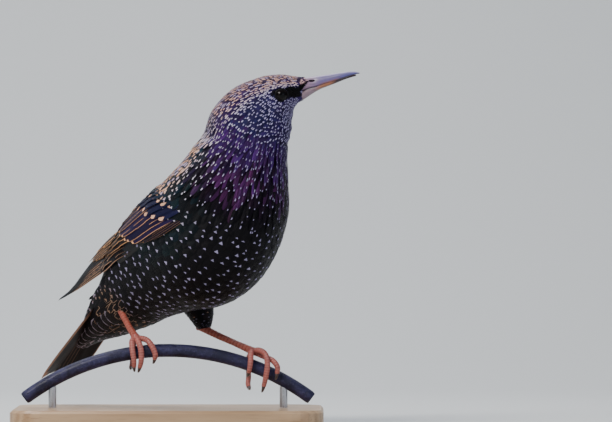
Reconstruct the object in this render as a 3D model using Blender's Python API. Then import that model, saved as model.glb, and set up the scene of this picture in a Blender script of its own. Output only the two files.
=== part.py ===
"""A starling in fresh winter plumage, life size and still, gripping a short rod on a plain stand.

World frame in metres: +X along the perch, -Y towards the side that the bird shows, +Z up, origin on
the floor under the middle of the perch. The tables hold millimetres. A bird place is forward, aside
(to its left) and up, from a point on the perch's middle line between its feet.
"""

import math

import bmesh
import bpy
import numpy as np
from mathutils import Vector

MM = 0.001
GAP = 0.3

# The stand and the perch
BASE_LENGTH, BASE_WIDTH, BASE_HEIGHT, BASE_CORNER, BASE_EDGE = 140.0, 92.0, 8.0, 14.0, 1.2
BASE_MIDDLE_Y = 8.0
PERCH_RADIUS, PERCH_BEND, PERCH_HALF_ANGLE, PERCH_TOP = 3.0, 107.3, 37.0, 34.0
POST_RADIUS, POST_X = 1.8, 52.0

# How the bird stands on it
BODY_HEADING, HEAD_HEADING = 40.0, 10.0
STANCE_X, STANCE_Z = 14.4, PERCH_TOP

# Sections of the feathered body, from the tips of the tail coverts to the forehead: X, Y and Z of the
# middle, heading in degrees towards the viewer, half-width, and depth above (towards the back) and
# below the middle.
BODY = np.array((
    (-40.0, 45.8, 36.4, 40.0, 4.4, 1.6, 2.4),
    (-34.6, 41.3, 43.2, 40.0, 7.8, 4.0, 7.0),
    (-28.0, 35.7, 50.4, 40.0, 11.4, 8.8, 13.0),
    (-20.4, 29.4, 58.6, 40.0, 15.6, 14.4, 18.4),
    (-10.2, 20.8, 68.0, 40.0, 20.6, 20.4, 22.6),
    (2.0, 10.6, 77.8, 40.0, 25.0, 25.4, 29.0),
    (15.8, -1.0, 88.0, 40.0, 28.4, 28.4, 35.0),
    (25.4, -9.2, 103.0, 38.0, 27.4, 24.6, 32.6),
    (31.2, -13.4, 116.6, 33.0, 22.6, 21.4, 25.4),
    (34.4, -15.2, 126.0, 27.0, 18.4, 19.0, 20.6),
    (36.6, -16.2, 133.6, 21.0, 16.2, 18.6, 18.8),
    (40.4, -17.1, 140.6, 15.0, 14.2, 15.8, 18.2),
    (46.2, -18.4, 146.4, 11.0, 12.0, 11.6, 15.6),
    (52.0, -19.5, 149.6, 10.0, 9.0, 8.6, 11.2),
    (57.0, -20.4, 150.8, 10.0, 5.8, 6.4, 6.6),
    (61.0, -21.1, 151.0, 10.0, 3.7, 5.4, 4.9),
))
TAIL_CUT, NECK_CUT, HEAD_CUT = 3.0, 8.4, 10.6
AROUND = 28

# The bill, in upright planes along the head's heading: X, lower edge, upper edge and half-width
UPPER_BILL = np.array((
    (61.3, 150.6, 156.3, 3.3),
    (65.0, 151.7, 156.8, 2.9),
    (69.0, 152.8, 157.3, 2.4),
    (73.4, 154.1, 157.9, 1.9),
    (77.5, 155.6, 158.5, 1.45),
    (81.0, 156.8, 158.9, 1.05),
    (84.0, 157.6, 158.9, 0.7),
    (86.0, 158.0, 158.4, 0.25),
))
LOWER_BILL = np.array((
    (61.3, 146.6, 150.3, 3.0),
    (64.6, 148.8, 151.2, 2.6),
    (68.3, 151.0, 152.3, 2.1),
    (71.6, 152.3, 153.2, 1.7),
    (75.0, 153.6, 154.4, 1.3),
    (79.5, 155.4, 156.0, 0.95),
    (82.6, 156.4, 157.0, 0.6),
    (84.4, 156.9, 157.3, 0.35),
))
NOSTRIL_X, NOSTRIL_Z, NOSTRIL_LENGTH, NOSTRIL_HEIGHT = 65.2, 154.8, 3.2, 1.1

# The eyes, alike on both sides of the head
EYE_RADIUS, EYE_X, EYE_Z, EYE_ASIDE, EYE_TURN = 3.2, 51.9, 148.4, 6.6, 27.0
LID_RADIUS, LID_THICK, LID_OUT = 2.95, 0.6, 1.9

# The folded right wing's two edges from the wrist to the tip: X, Z and aside of the lower edge and
# then of the upper one, its height over the body's surface and the depth of its flesh. The left wing
# mirrors it.
WING = np.array((
    (21.0, 104.0, -20.0, 9.0, 109.0, -12.0, -4.0, 7.0),
    (14.0, 98.5, -25.0, 3.4, 105.0, -6.5, -1.6, 7.0),
    (3.0, 90.0, -27.0, -5.5, 99.6, -3.0, 0.0, 7.0),
    (-8.1, 81.9, -26.0, -14.8, 91.6, -2.0, 0.6, 6.0),
    (-19.4, 73.8, -23.5, -24.6, 85.8, -2.0, 0.9, 5.0),
    (-30.6, 65.7, -19.5, -36.0, 74.8, -3.5, 1.0, 3.0),
    (-40.5, 60.5, -15.0, -46.2, 61.6, -7.5, 1.0, 1.2),
    (-50.9, 55.9, -11.2, -51.3, 55.9, -10.4, 0.8, 0.6),
))
WING_ARCH = 1.6
WING_FLESH_END = 0.62
VANE_THICK, VANE_TILT, ROOT_SINK = 0.6, 0.24, 1.8

# A vane's width along it, as shares of its length and of its full width
VANE_SHAPE = ((0.0, 0.62), (0.3, 0.94), (0.62, 1.0), (0.9, 0.86), (1.0, 0.42))

# Families of wing feathers, from the lowest to the upper ones: how many, then the first and the last
# one's root and tip as shares along and across the wing, their width in mm, and their height over the
# flesh.
WING_FEATHERS = {
    "primary": (7, (0.40, 0.16), (0.40, 0.52), (1.00, 0.50), (0.76, 0.80), (9.0, 8.0), 0.0),
    "secondary": (5, (0.34, 0.30), (0.32, 0.78), (0.70, 0.34), (0.72, 0.90), (8.5, 9.0), 0.45),
    "tertial": (3, (0.34, 0.72), (0.30, 0.92), (0.76, 0.76), (0.62, 0.97), (9.0, 9.0), 0.9),
    "greater_covert": (7, (0.18, 0.08), (0.16, 0.88), (0.47, 0.09), (0.44, 0.94), (7.0, 6.4), 1.25),
    "median_covert": (6, (0.08, 0.10), (0.06, 0.86), (0.31, 0.12), (0.28, 0.93), (7.4, 6.6), 1.7),
}

# The tail, from a point under the rump: where it starts, its slope down, length, half-widths, the
# arch across it, the step down from one feather to the next, and how far its end sways to the left
# and is shorter there
TAIL_FORWARD, TAIL_UP, TAIL_SLOPE, TAIL_ROOT, TAIL_LENGTH = -41.0, 37.4, 49.0, 14.5, 65.6
TAIL_FEATHERS, TAIL_ROOT_HALF, TAIL_TIP_HALF, TAIL_FEATHER_WIDTH = 12, 6.0, 9.8, 8.4
TAIL_ARCH, TAIL_STEP, TAIL_SWAY, TAIL_SLANT = 1.0, 0.3, -6.2, 1.4

# Legs: the feathered thigh and the bare leg, each as points and radii
THIGH_LEFT = np.array((
    (11.0, 18.0, 60.0, 9.0),
    (14.0, 16.2, 52.0, 6.6),
    (15.6, 15.0, 46.0, 4.2),
    (16.0, 14.6, 43.4, 2.6),
))
LEG_LEFT = np.array((
    (15.2, 15.2, 43.8, 1.7),
    (22.5, 10.4, 40.4, 1.55),
    (30.5, 5.0, 37.0, 1.45),
    (37.2, 0.5, 34.1, 1.6),
))
LEG_SPACE = np.array((0.0, 0.0, 0.0, GAP))
LEG_RIGHT = np.array((
    (-26.4, 26.0, 60.0, 1.7),
    (-22.2, 16.0, 52.4, 1.5),
    (-18.0, 6.6, 45.0, 1.4),
    (-15.0, 0.5, 40.6, 1.6),
))


def spline(rows, at):
    """The row at a place along a table of rows, by a Catmull-Rom curve through them."""
    last = len(rows) - 1
    i = min(max(int(at), 0), last - 1)
    t = at - i
    before = rows[i - 1] if i else 2 * rows[0] - rows[1]
    after = rows[i + 2] if i + 2 <= last else 2 * rows[last] - rows[last - 1]
    near, far = rows[i], rows[i + 1]
    return 0.5 * (
        2 * near
        + (far - before) * t
        + (2 * before - 5 * near + 4 * far - after) * t**2
        + (3 * near - before - 3 * far + after) * t**3
    )


def unit(vector):
    return vector / np.linalg.norm(vector)


def bird(forward, aside, up):
    """The world place of a bird place."""
    turn = math.radians(BODY_HEADING)
    return np.array((
        STANCE_X + forward * math.cos(turn) + aside * math.sin(turn),
        -forward * math.sin(turn) + aside * math.cos(turn),
        STANCE_Z + up,
    ))


def seen(x, z, aside, side=-1.0):
    """The world place with this X and Z and this far aside on the bird's right, or mirrored on its left."""
    turn = math.radians(BODY_HEADING)
    forward = (x - STANCE_X - aside * math.sin(turn)) / math.cos(turn)
    return bird(forward, aside if side < 0 else -aside, z - STANCE_Z)


def section(at):
    """Middle, ahead, left and back directions, half-width and the two depths of a section of the body."""
    row = spline(BODY, at)
    inner = min(max(at, 0.011), len(BODY) - 1.011)
    ahead = unit(spline(BODY[:, :3], inner + 0.01) - spline(BODY[:, :3], inner - 0.01))
    turn = math.radians(row[3])
    back = unit(np.cross(ahead, (math.sin(turn), math.cos(turn), 0.0)))
    return row[:3], ahead, np.cross(back, ahead), back, row[4], row[5], row[6]


def body_ring(at, grow=0.0, shift=0.0):
    """The body's outline at a place: it starts at the bird's left and goes round over its back."""
    middle, ahead, left, back, half_width, above, below = section(at)
    ring = []
    for k in range(AROUND):
        angle = 2 * math.pi * k / AROUND
        depth = above if k < AROUND / 2 else below
        aside = (half_width + grow) * math.cos(angle)
        ring.append(middle + ahead * shift + left * aside + back * (depth + grow) * math.sin(angle))
    return ring


def body_rings(start, end, steps, grow=0.0, trim=0.0):
    """The body's outlines between two places, with the end ones drawn in by the trim."""
    places = [start + (end - start) * step / steps for step in range(steps + 1)]
    rings = [body_ring(at, grow) for at in places]
    rings[0] = body_ring(start, grow, trim)
    rings[-1] = body_ring(end, grow, -trim)
    return rings


STATIONS = [section(at) for at in np.linspace(0.0, 10.0, 81)]


def outside(point, clear):
    """The point, moved out from the body's middle line until it's this far over the body's surface."""
    middle, ahead, left, back, half_width, above, below = min(
        STATIONS, key=lambda s: abs(np.dot(point - s[0], s[1])) + 0.05 * np.linalg.norm(point - s[0])
    )
    aside, over = np.dot(point - middle, left), np.dot(point - middle, back)
    depth = above if over > 0 else below
    share = math.hypot(aside / (half_width + clear), over / (depth + clear))
    if share >= 1.0 or share < 0.05:
        return point
    return point + (left * aside + back * over) * (1 / share - 1)


def material(name, colour, roughness, metallic=0.0):
    made = bpy.data.materials.new(name)
    made.use_nodes = True
    shader = made.node_tree.nodes["Principled BSDF"]
    shader.inputs["Base Color"].default_value = (*colour, 1.0)
    shader.inputs["Roughness"].default_value = roughness
    shader.inputs["Metallic"].default_value = metallic
    return made


def plumage(name):
    return material(name + " plumage", (0.03, 0.025, 0.06), 0.5)


def solid(name, mesh, finish, where):
    """An object of this closed bmesh, its faces turned out."""
    bmesh.ops.recalc_face_normals(mesh, faces=mesh.faces)
    data = bpy.data.meshes.new(name)
    mesh.to_mesh(data)
    mesh.free()
    if finish:
        data.materials.append(finish)
    made = bpy.data.objects.new(name, data)
    where.objects.link(made)
    return made


def loft(name, rings, finish, where):
    """A closed solid through rings of equal counts, with a flat cap at each end."""
    mesh = bmesh.new()
    made = [[mesh.verts.new(Vector(point) * MM) for point in ring] for ring in rings]
    count = len(rings[0])
    for near, far in zip(made, made[1:]):
        for k in range(count):
            mesh.faces.new((near[k], near[(k + 1) % count], far[(k + 1) % count], far[k]))
    mesh.faces.new(reversed(made[0]))
    mesh.faces.new(made[-1])
    for face in mesh.faces:
        face.smooth = len(face.verts) == 4
    return solid(name, mesh, finish, where)


def tube_rings(path, radii, sides, up=(0.0, 0.0, 1.0)):
    """Rings round a path, each upright to it."""
    path = [np.array(point, float) for point in path]
    rings = []
    across = np.array(up, float)
    for i, point in enumerate(path):
        along = unit(path[min(i + 1, len(path) - 1)] - path[max(i - 1, 0)])
        across = across - along * np.dot(across, along)
        if np.linalg.norm(across) < 1e-6:
            across = np.cross(along, (1.0, 0.0, 0.0))
        across = unit(across)
        other = np.cross(along, across)
        rings.append([
            point + radii[i] * (across * math.cos(a) + other * math.sin(a))
            for a in (2 * math.pi * k / sides for k in range(sides))
        ])
    return rings


def drawn(rows, steps):
    """A table of points and radii drawn out into a smooth path and its radii."""
    rows = np.array(rows, float)
    places = np.linspace(0.0, len(rows) - 1, steps + 1)
    full = [spline(rows, at) for at in places]
    return [row[:3] for row in full], [row[3] for row in full]


def ball(name, middle, sizes, where, finish=None, turn=0.0, segments=16):
    """An egg-shaped solid with its first size along X, then turned about Z."""
    mesh = bmesh.new()
    bmesh.ops.create_uvsphere(mesh, u_segments=segments, v_segments=segments // 2 + 2, radius=1.0)
    cos, sin = math.cos(turn), math.sin(turn)
    for vert in mesh.verts:
        x, y, z = (vert.co[k] * sizes[k] for k in range(3))
        vert.co = Vector((middle[0] + x * cos - y * sin, middle[1] + x * sin + y * cos, middle[2] + z)) * MM
    for face in mesh.faces:
        face.smooth = True
    return solid(name, mesh, finish, where)


def ring_solid(name, middles, thick, axis, where, sides=6):
    """A closed ring round an axis, through these middles."""
    mesh = bmesh.new()
    centre = sum(middles) / len(middles)
    made = []
    for point in middles:
        away = unit(point - centre)
        made.append([
            mesh.verts.new(Vector(point + thick * (away * math.cos(a) + axis * math.sin(a))) * MM)
            for a in (2 * math.pi * k / sides for k in range(sides))
        ])
    for near, far in zip(made, made[1:] + made[:1]):
        for k in range(sides):
            mesh.faces.new((near[k], near[(k + 1) % sides], far[(k + 1) % sides], far[k]))
    return solid(name, mesh, None, where)


def largest(data):
    """Keep only the largest closed surface of the mesh."""
    mesh = bmesh.new()
    mesh.from_mesh(data)
    left = set(mesh.verts)
    groups = []
    while left:
        group = {left.pop()}
        edge = list(group)
        while edge:
            vert = edge.pop()
            for link in vert.link_edges:
                other = link.other_vert(vert)
                if other in left:
                    left.remove(other)
                    group.add(other)
                    edge.append(other)
        groups.append(group)
    keep = max(groups, key=len)
    bmesh.ops.delete(mesh, geom=[vert for vert in mesh.verts if vert not in keep], context="VERTS")
    mesh.to_mesh(data)
    mesh.free()


def combine(first, added=(), cutters=(), solver="EXACT"):
    """Join closed pieces to the first one, cut it with the cutters, and keep the largest closed surface."""
    if added:
        group = bpy.data.collections.new("pieces of " + first.name)
        bpy.context.scene.collection.children.link(group)
        for piece in added:
            for old in list(piece.users_collection):
                old.objects.unlink(piece)
            group.objects.link(piece)
        union = first.modifiers.new("union", "BOOLEAN")
        union.operation = "UNION"
        union.operand_type = "COLLECTION"
        union.collection = group
        union.solver = solver
    for cutter in cutters:
        cut = first.modifiers.new("cut", "BOOLEAN")
        cut.operation = "DIFFERENCE"
        cut.object = cutter
        cut.solver = solver
    bpy.context.view_layer.update()
    graph = bpy.context.evaluated_depsgraph_get()
    made = bpy.data.meshes.new_from_object(first.evaluated_get(graph))
    first.modifiers.clear()
    old, first.data = first.data, made
    made.name = first.name
    bpy.data.meshes.remove(old)
    for piece in added:
        bpy.data.objects.remove(piece)
    if added:
        bpy.data.collections.remove(group)
    largest(made)
    return first


def perch_middle(x):
    """Y and Z of the perch's middle line at this X."""
    return 0.0, PERCH_TOP - PERCH_BEND + math.sqrt(PERCH_BEND**2 - x**2)


def build_perch(where, cutters):
    """The bent rod, and the space round it that feet and posts are cut with."""
    steps = 22
    angles = [math.radians(PERCH_HALF_ANGLE) * (2 * k / steps - 1) for k in range(steps + 1)]
    path = [
        (PERCH_BEND * math.sin(a), 0.0, PERCH_TOP - PERCH_BEND * (1 - math.cos(a))) for a in angles
    ]
    rings = tube_rings(path, [PERCH_RADIUS] * len(path), 14, up=(0.0, 1.0, 0.0))
    loft("perch", rings, material("perch paint", (0.05, 0.05, 0.12), 0.45), where)
    rings = tube_rings(path, [PERCH_RADIUS + GAP] * len(path), 14, up=(0.0, 1.0, 0.0))
    return loft("perch_space", rings, None, cutters)


def build_stand(where, space):
    """The flat base with round corners and its two short rods, cut clear of the perch."""
    outline = []
    for sign_x, sign_y, start in ((1, 1, 0), (-1, 1, 90), (-1, -1, 180), (1, -1, 270)):
        for step in range(7):
            angle = math.radians(start + 15 * step)
            outline.append((
                sign_x * (BASE_LENGTH / 2 - BASE_CORNER) + BASE_CORNER * math.cos(angle),
                sign_y * (BASE_WIDTH / 2 - BASE_CORNER) + BASE_CORNER * math.sin(angle),
            ))
    levels = ((0.0, 0.0), (BASE_HEIGHT - BASE_EDGE, 0.0), (BASE_HEIGHT, BASE_EDGE))
    rings = []
    for height, inset in levels:
        ring = []
        for x, y in outline:
            share_x = 1 - inset / (BASE_LENGTH / 2)
            share_y = 1 - inset / (BASE_WIDTH / 2)
            ring.append((x * share_x, BASE_MIDDLE_Y + y * share_y, height))
        rings.append(ring)
    made = loft("stand_base", rings, material("stand base wood", (0.55, 0.4, 0.26), 0.5), where)
    for face in made.data.polygons:
        face.use_smooth = False
    for name, x in (("stand_rod_left", -POST_X), ("stand_rod_right", POST_X)):
        path = [(x, 0.0, BASE_HEIGHT + GAP), (x, 0.0, perch_middle(x)[1])]
        rod = loft(
            name,
            tube_rings(path, [POST_RADIUS] * 2, 16, up=(0.0, 1.0, 0.0)),
            material(name + " steel", (0.5, 0.5, 0.52), 0.3, 1.0),
            where,
        )
        combine(rod, cutters=[space])


def build_body(where, cutters):
    """Torso, neck and head, the head with its eyes, and the shape that the wings and legs are cut with."""
    loft("torso", body_rings(TAIL_CUT, NECK_CUT, 16, trim=GAP / 2), plumage("torso"), where)
    loft("neck", body_rings(NECK_CUT, HEAD_CUT, 6, trim=GAP / 2), plumage("neck"), where)
    head = loft("head", body_rings(HEAD_CUT, len(BODY) - 1, 14, trim=GAP / 2), plumage("head"), where)
    turn = math.radians(-HEAD_HEADING)
    left = np.array((-math.sin(turn), math.cos(turn), 0.0))
    sockets, lids = [], []
    for name, side in (("eye_left", 1.0), ("eye_right", -1.0)):
        ahead = np.array((math.cos(turn), math.sin(turn), 0.0))
        look = math.radians(EYE_TURN)
        axis = left * side * math.cos(look) + ahead * math.sin(look)
        flat = np.cross(axis, (0.0, 0.0, side))
        middle = np.array((EYE_X, -19.7, EYE_Z)) + left * EYE_ASIDE * side
        sizes = (EYE_RADIUS,) * 3
        ball(name, middle, sizes, where, material(name + " glass", (0.01, 0.008, 0.006), 0.05))
        sockets.append(ball(name + "_socket", middle, (EYE_RADIUS + GAP,) * 3, cutters))
        rim = []
        for k in range(20):
            angle = 2 * math.pi * k / 20
            round_it = flat * math.cos(angle) + np.array((0.0, 0.0, 0.92)) * math.sin(angle)
            rim.append(middle + axis * LID_OUT + round_it * LID_RADIUS)
        lids.append(ring_solid(name + "_lid", rim, LID_THICK, axis, where))
    combine(head, added=lids, cutters=sockets)
    return loft("body_space", body_rings(0.0, 12.0, 44, grow=GAP), None, cutters)


def bill_rings(rows, steps, flat_top):
    """Rings of half a bill, round on one side and flat towards the mouth."""
    turn = math.radians(-HEAD_HEADING)
    left = np.array((-math.sin(turn), math.cos(turn), 0.0))
    sides = 12
    rings = []
    for at in np.linspace(0.0, len(rows) - 1, steps + 1):
        x, low, high, half = spline(rows, at)
        y = -21.1 + (x - 61.0) * math.tan(turn)
        ring = []
        for k in range(sides):
            angle = 2 * math.pi * k / sides
            rise = math.sin(angle)
            out = math.cos(angle) * half
            middle = low + (high - low) * (0.72 if flat_top else 0.28)
            far = (high - middle) if rise > 0 else (middle - low)
            flat = flat_top == (rise > 0)
            rise = math.copysign(abs(rise) ** (0.6 if flat else 1.0), rise)
            ring.append(np.array((x, y, middle + far * rise)) + left * out)
        rings.append(ring)
    return rings


def build_bill(where, cutters):
    """Both halves of the bill, with the nostrils sunk in the upper one."""
    horn = material("upper bill horn", (0.3, 0.26, 0.4), 0.35)
    upper = loft("upper_bill", bill_rings(UPPER_BILL, 14, False), horn, where)
    horn = material("lower bill horn", (0.3, 0.26, 0.35), 0.35)
    loft("lower_bill", bill_rings(LOWER_BILL, 12, True), horn, where)
    turn = math.radians(-HEAD_HEADING)
    left = np.array((-math.sin(turn), math.cos(turn), 0.0))
    slots = []
    for name, side in (("left", 1.0), ("right", -1.0)):
        y = -21.1 + (NOSTRIL_X - 61.0) * math.tan(turn)
        middle = np.array((NOSTRIL_X, y, NOSTRIL_Z)) + left * side * 2.7
        sizes = (NOSTRIL_LENGTH / 2, 0.9, NOSTRIL_HEIGHT / 2)
        slots.append(ball("nostril_" + name, middle, sizes, cutters, turn=turn, segments=12))
    combine(upper, cutters=slots)


def wing_place(side, s, t, over=0.0):
    """A place on the folded wing's surface: s from wrist to tip, t from the lower edge to the upper."""
    row = spline(WING, (len(WING) - 1) * s)
    lower = seen(row[0], row[1], row[2], side)
    upper = seen(row[3], row[4], row[5], side)
    ahead = bird(0.7, 0.0, 0.7) - bird(0.0, 0.0, 0.0)
    out = unit(np.cross(upper - lower, ahead)) * side
    arch = WING_ARCH * max(1 - s, 0.0) ** 0.5 * 4 * t * (1 - t)
    point = outside(lower + (upper - lower) * t + out * arch, row[6])
    return point + out * over, out, row[7]


def vane(name, rows, thick, where):
    """A thin closed feather vane through rows of places, both faces split alike."""
    mesh = bmesh.new()
    faces = []
    for sign in (0.5, -0.5):
        made = []
        for line, normal in rows:
            made.append([mesh.verts.new(Vector(point + normal * thick * sign) * MM) for point in line])
        faces.append(made)
    top, bottom = faces
    last, wide = len(rows) - 1, len(rows[0][0]) - 1
    for i in range(last):
        for j in range(wide):
            for grid in (top, bottom):
                a, b, c, d = grid[i][j], grid[i][j + 1], grid[i + 1][j + 1], grid[i + 1][j]
                mesh.faces.new((a, b, c))
                mesh.faces.new((a, c, d))
    rim = [(0, j) for j in range(wide)] + [(i, wide) for i in range(last)]
    rim += [(last, j) for j in range(wide, 0, -1)] + [(i, 0) for i in range(last, 0, -1)]
    for (i, j), (k, m) in zip(rim, rim[1:] + rim[:1]):
        mesh.faces.new((top[i][j], top[k][m], bottom[k][m]))
        mesh.faces.new((top[i][j], bottom[k][m], bottom[i][j]))
    return solid(name, mesh, None, where)


def middle_rings():
    """A thin upright plate along the bird's middle, which keeps the two wings apart."""
    corners = ((-100.0, -1.0), (50.0, -1.0), (50.0, 110.0), (-100.0, 110.0))
    return [[bird(forward, aside, up) for forward, up in corners] for aside in (-GAP, GAP)]


def build_wing(name, side, where, spaces):
    """A folded wing: its flesh with the rows of feathers joined to it, cut clear of body and other wing."""
    rings = []
    rows = 14
    for i in range(rows + 1):
        line, inner = [], []
        for j in range(7):
            t = 0.06 + 0.88 * j / 6
            point, out, depth = wing_place(side, 0.02 + (WING_FLESH_END - 0.02) * i / rows, t)
            thick = 0.6 + (depth - 0.6) * min(1.0, 4 * min(j, 6 - j) / 6)
            line.append(point)
            inner.append(point - out * thick)
        rings.append(line + inner[::-1])
    wing = loft(name, rings, plumage(name), where)
    random = np.random.default_rng(7)
    vanes = []
    for family, (count, root, root_end, tip, tip_end, widths, height) in WING_FEATHERS.items():
        for k in range(count):
            share = k / (count - 1)
            near = np.array(root) + (np.array(root_end) - root) * share
            far = np.array(tip) + (np.array(tip_end) - tip) * share
            near += random.uniform(-0.006, 0.006, 2)
            far += random.uniform(-0.012, 0.0, 2) * (1.0, 0.4)
            width = widths[0] + (widths[1] - widths[0]) * share
            lift = height + random.uniform(-0.03, 0.03)
            lines = []
            for along, wide in VANE_SHAPE:
                s, t = near + (far - near) * along
                low, out, depth = wing_place(side, s, t - 0.05)
                high = wing_place(side, s, t + 0.05)[0]
                across = unit(high - low)
                middle = wing_place(side, s, t)[0]
                line = []
                for way in (-1.0, 1.0):
                    rise = lift * (1.0 - 0.35 * along) - way * VANE_TILT - ROOT_SINK * (1 - along) ** 4
                    line.append(middle + across * way * width * wide / 2 + out * rise)
                lines.append((line, out))
            vanes.append(vane(f"{family}_{k}", lines, VANE_THICK, where))
    combine(wing, added=vanes, solver="MANIFOLD")
    combine(wing, cutters=spaces, solver="MANIFOLD")


def tail_place(along, aside, over):
    """A place on the tail: along it from under the rump, aside of its middle, and over its upper face."""
    slope = math.radians(TAIL_SLOPE)
    over -= TAIL_ARCH * (aside / TAIL_TIP_HALF) ** 2
    aside += TAIL_SWAY * along / TAIL_LENGTH
    return bird(
        TAIL_FORWARD - along * math.cos(slope) - over * math.sin(slope),
        aside,
        TAIL_UP - along * math.sin(slope) + over * math.cos(slope),
    )


def build_tail(where):
    """The tail coverts with the twelve tail feathers joined to them, the middle ones uppermost."""
    tail = loft("tail", body_rings(0.0, TAIL_CUT, 8, trim=GAP / 2), plumage("tail"), where)
    normal = unit(tail_place(30.0, 0.0, 1.0) - tail_place(30.0, 0.0, 0.0))
    random = np.random.default_rng(5)
    vanes = []
    for k in range(TAIL_FEATHERS):
        place = 2 * k / (TAIL_FEATHERS - 1) - 1
        depth = abs(place) * (TAIL_FEATHERS / 2 - 0.5) * TAIL_STEP + (0.12 if place > 0 else 0.0)
        length = TAIL_LENGTH - 1.6 * (1 - abs(place)) - TAIL_SLANT * max(place, 0.0)
        length += random.uniform(-0.5, 0.0)
        lines = []
        for share, wide in VANE_SHAPE:
            along = TAIL_ROOT + (length - TAIL_ROOT) * share
            middle = place * (TAIL_ROOT_HALF + (TAIL_TIP_HALF - TAIL_ROOT_HALF) * share)
            half = TAIL_FEATHER_WIDTH * wide / 2
            tilt = math.copysign(VANE_TILT, place) * 0.6
            line = [tail_place(along, middle + way * half, -depth + tilt * -way) for way in (-1.0, 1.0)]
            lines.append((line, normal))
        vanes.append(vane(f"rectrix_{k}", lines, VANE_THICK, where))
    combine(tail, added=vanes, solver="MANIFOLD")


# Toes from the ball of the foot, each as places and radii in mm. Toe 1 points back.
TOES = {
    "left": {
        1: (
            (37.6, 0.7, 33.2, 1.2), (36.4, 4.5, 30.8, 1.2), (36.2, 5.2, 26.5, 1.15),
            (36.2, 3.4, 21.6, 1.15), (36.0, 0.8, 19.0, 1.1), (36.4, -1.6, 17.4, 1.0),
        ),
        2: (
            (37.8, -0.8, 33.6, 1.35), (37.4, -3.4, 32.8, 1.3), (37.2, -5.0, 29.2, 1.2),
            (36.8, -5.0, 26.1, 1.1), (36.4, -4.2, 24.2, 0.95),
        ),
        3: (
            (38.6, -0.6, 33.8, 1.4), (41.4, -2.4, 34.0, 1.35), (43.9, -4.4, 32.2, 1.3),
            (44.8, -5.4, 27.9, 1.25), (44.1, -5.2, 22.5, 1.2), (43.1, -4.4, 18.0, 1.0),
        ),
        4: (
            (38.8, 0.4, 33.2, 1.35), (44.0, -1.4, 31.0, 1.25), (47.3, -3.6, 29.4, 1.25),
            (49.3, -4.9, 26.6, 1.2), (49.1, -4.6, 23.8, 1.0),
        ),
    },
    "right": {
        1: (
            (-14.8, 0.7, 39.2, 1.2), (-15.6, 4.3, 36.8, 1.2), (-16.0, 5.0, 32.6, 1.15),
            (-16.2, 3.6, 28.4, 1.1), (-16.6, 0.8, 26.4, 1.0),
        ),
        2: (
            (-13.6, -0.6, 39.6, 1.35), (-9.6, -2.6, 38.8, 1.3), (-7.0, -4.5, 35.8, 1.3),
            (-5.6, -4.9, 32.4, 1.2), (-5.9, -4.0, 30.2, 1.0),
        ),
        3: (
            (-14.2, -1.0, 39.6, 1.4), (-13.4, -3.4, 38.4, 1.35), (-12.0, -5.0, 34.4, 1.3),
            (-11.9, -5.1, 29.7, 1.2), (-12.6, -3.9, 26.4, 1.0),
        ),
        4: (
            (-14.8, -0.8, 39.4, 1.35), (-16.1, -3.2, 38.0, 1.3), (-15.8, -4.9, 34.0, 1.25),
            (-15.2, -5.0, 29.7, 1.15), (-15.1, -4.0, 26.8, 0.95),
        ),
    },
}
FOOT_BALLS = {"left": (37.9, 0.0, 33.6), "right": (-14.6, 0.0, 39.8)}
FOOT_BALL_SIZES = (2.3, 2.1, 2.0)
CLAW_LENGTH, CLAW_CURL = 5.2, 100.0


def build_foot(side, where, space):
    """A foot of joined toes, and its claws."""
    pieces = []
    for number, rows in TOES[side].items():
        path, radii = drawn(rows, 2 * len(rows) - 2)
        pieces.append(loft(f"toe_{number}", tube_rings(path, radii, 7), None, where))
        heading = unit(path[-1] - path[-2])
        along = np.array((1.0, 0.0, 0.0))
        turning = 1.0 if number > 1 else -1.0
        start = path[-1] + heading * GAP
        claw, girths = [], []
        for step in range(6):
            s = step / 5
            claw.append(np.array(start))
            girths.append(radii[-1] * (0.92 * (1 - s) ** 0.7 + 0.12))
            bend = math.radians(CLAW_CURL * (0.4 + s)) / 5 * turning
            side_way = unit(np.cross(along, heading))
            heading = unit(heading * math.cos(bend) + side_way * math.sin(bend))
            start = start + heading * CLAW_LENGTH / 5
        made = material(f"claw {side} {number} horn", (0.03, 0.025, 0.025), 0.3)
        combine(loft(f"claw_{side}_{number}", tube_rings(claw, girths, 7), made, where), cutters=[space])
    scales = material(f"foot {side} scales", (0.4, 0.12, 0.08), 0.5)
    foot = ball(f"foot_{side}", FOOT_BALLS[side], FOOT_BALL_SIZES, where, scales)
    combine(foot, added=pieces, cutters=[space])


def main():
    for old in list(bpy.data.objects):
        bpy.data.objects.remove(old)
    where = bpy.data.collections.new("starling")
    cutters = bpy.data.collections.new("cutters")
    for group in (where, cutters):
        bpy.context.scene.collection.children.link(group)
    cutters.hide_render = True
    perch_space = build_perch(where, cutters)
    build_stand(where, perch_space)
    body_space = build_body(where, cutters)
    build_bill(where, cutters)
    middle = loft("middle_space", middle_rings(), None, cutters)
    for name, side in (("wing_right", -1.0), ("wing_left", 1.0)):
        build_wing(name, side, where, (body_space, middle))
    build_tail(where)
    thigh = loft(
        "thigh_left", tube_rings(*drawn(THIGH_LEFT, 8), 16), plumage("thigh left"), where
    )
    leg_space = loft("leg_space", tube_rings(*drawn(LEG_LEFT + LEG_SPACE, 12), 12), None, cutters)
    combine(thigh, cutters=[body_space, leg_space])
    for side, rows in (("left", LEG_LEFT), ("right", LEG_RIGHT)):
        build_foot(side, where, perch_space)
        finish = material(f"leg {side} scales", (0.4, 0.1, 0.05), 0.5)
        leg = loft(f"leg_{side}", tube_rings(*drawn(rows, 10), 12), finish, where)
        sizes = [size + 1.7 * GAP for size in FOOT_BALL_SIZES]
        cuts = [ball(f"foot_space_{side}", FOOT_BALLS[side], sizes, cutters)]
        combine(leg, cutters=cuts + [body_space] * (side == "right"))
    for cutter in cutters.objects:
        cutter.hide_render = True
        cutter.display_type = "WIRE"


main()
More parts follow.
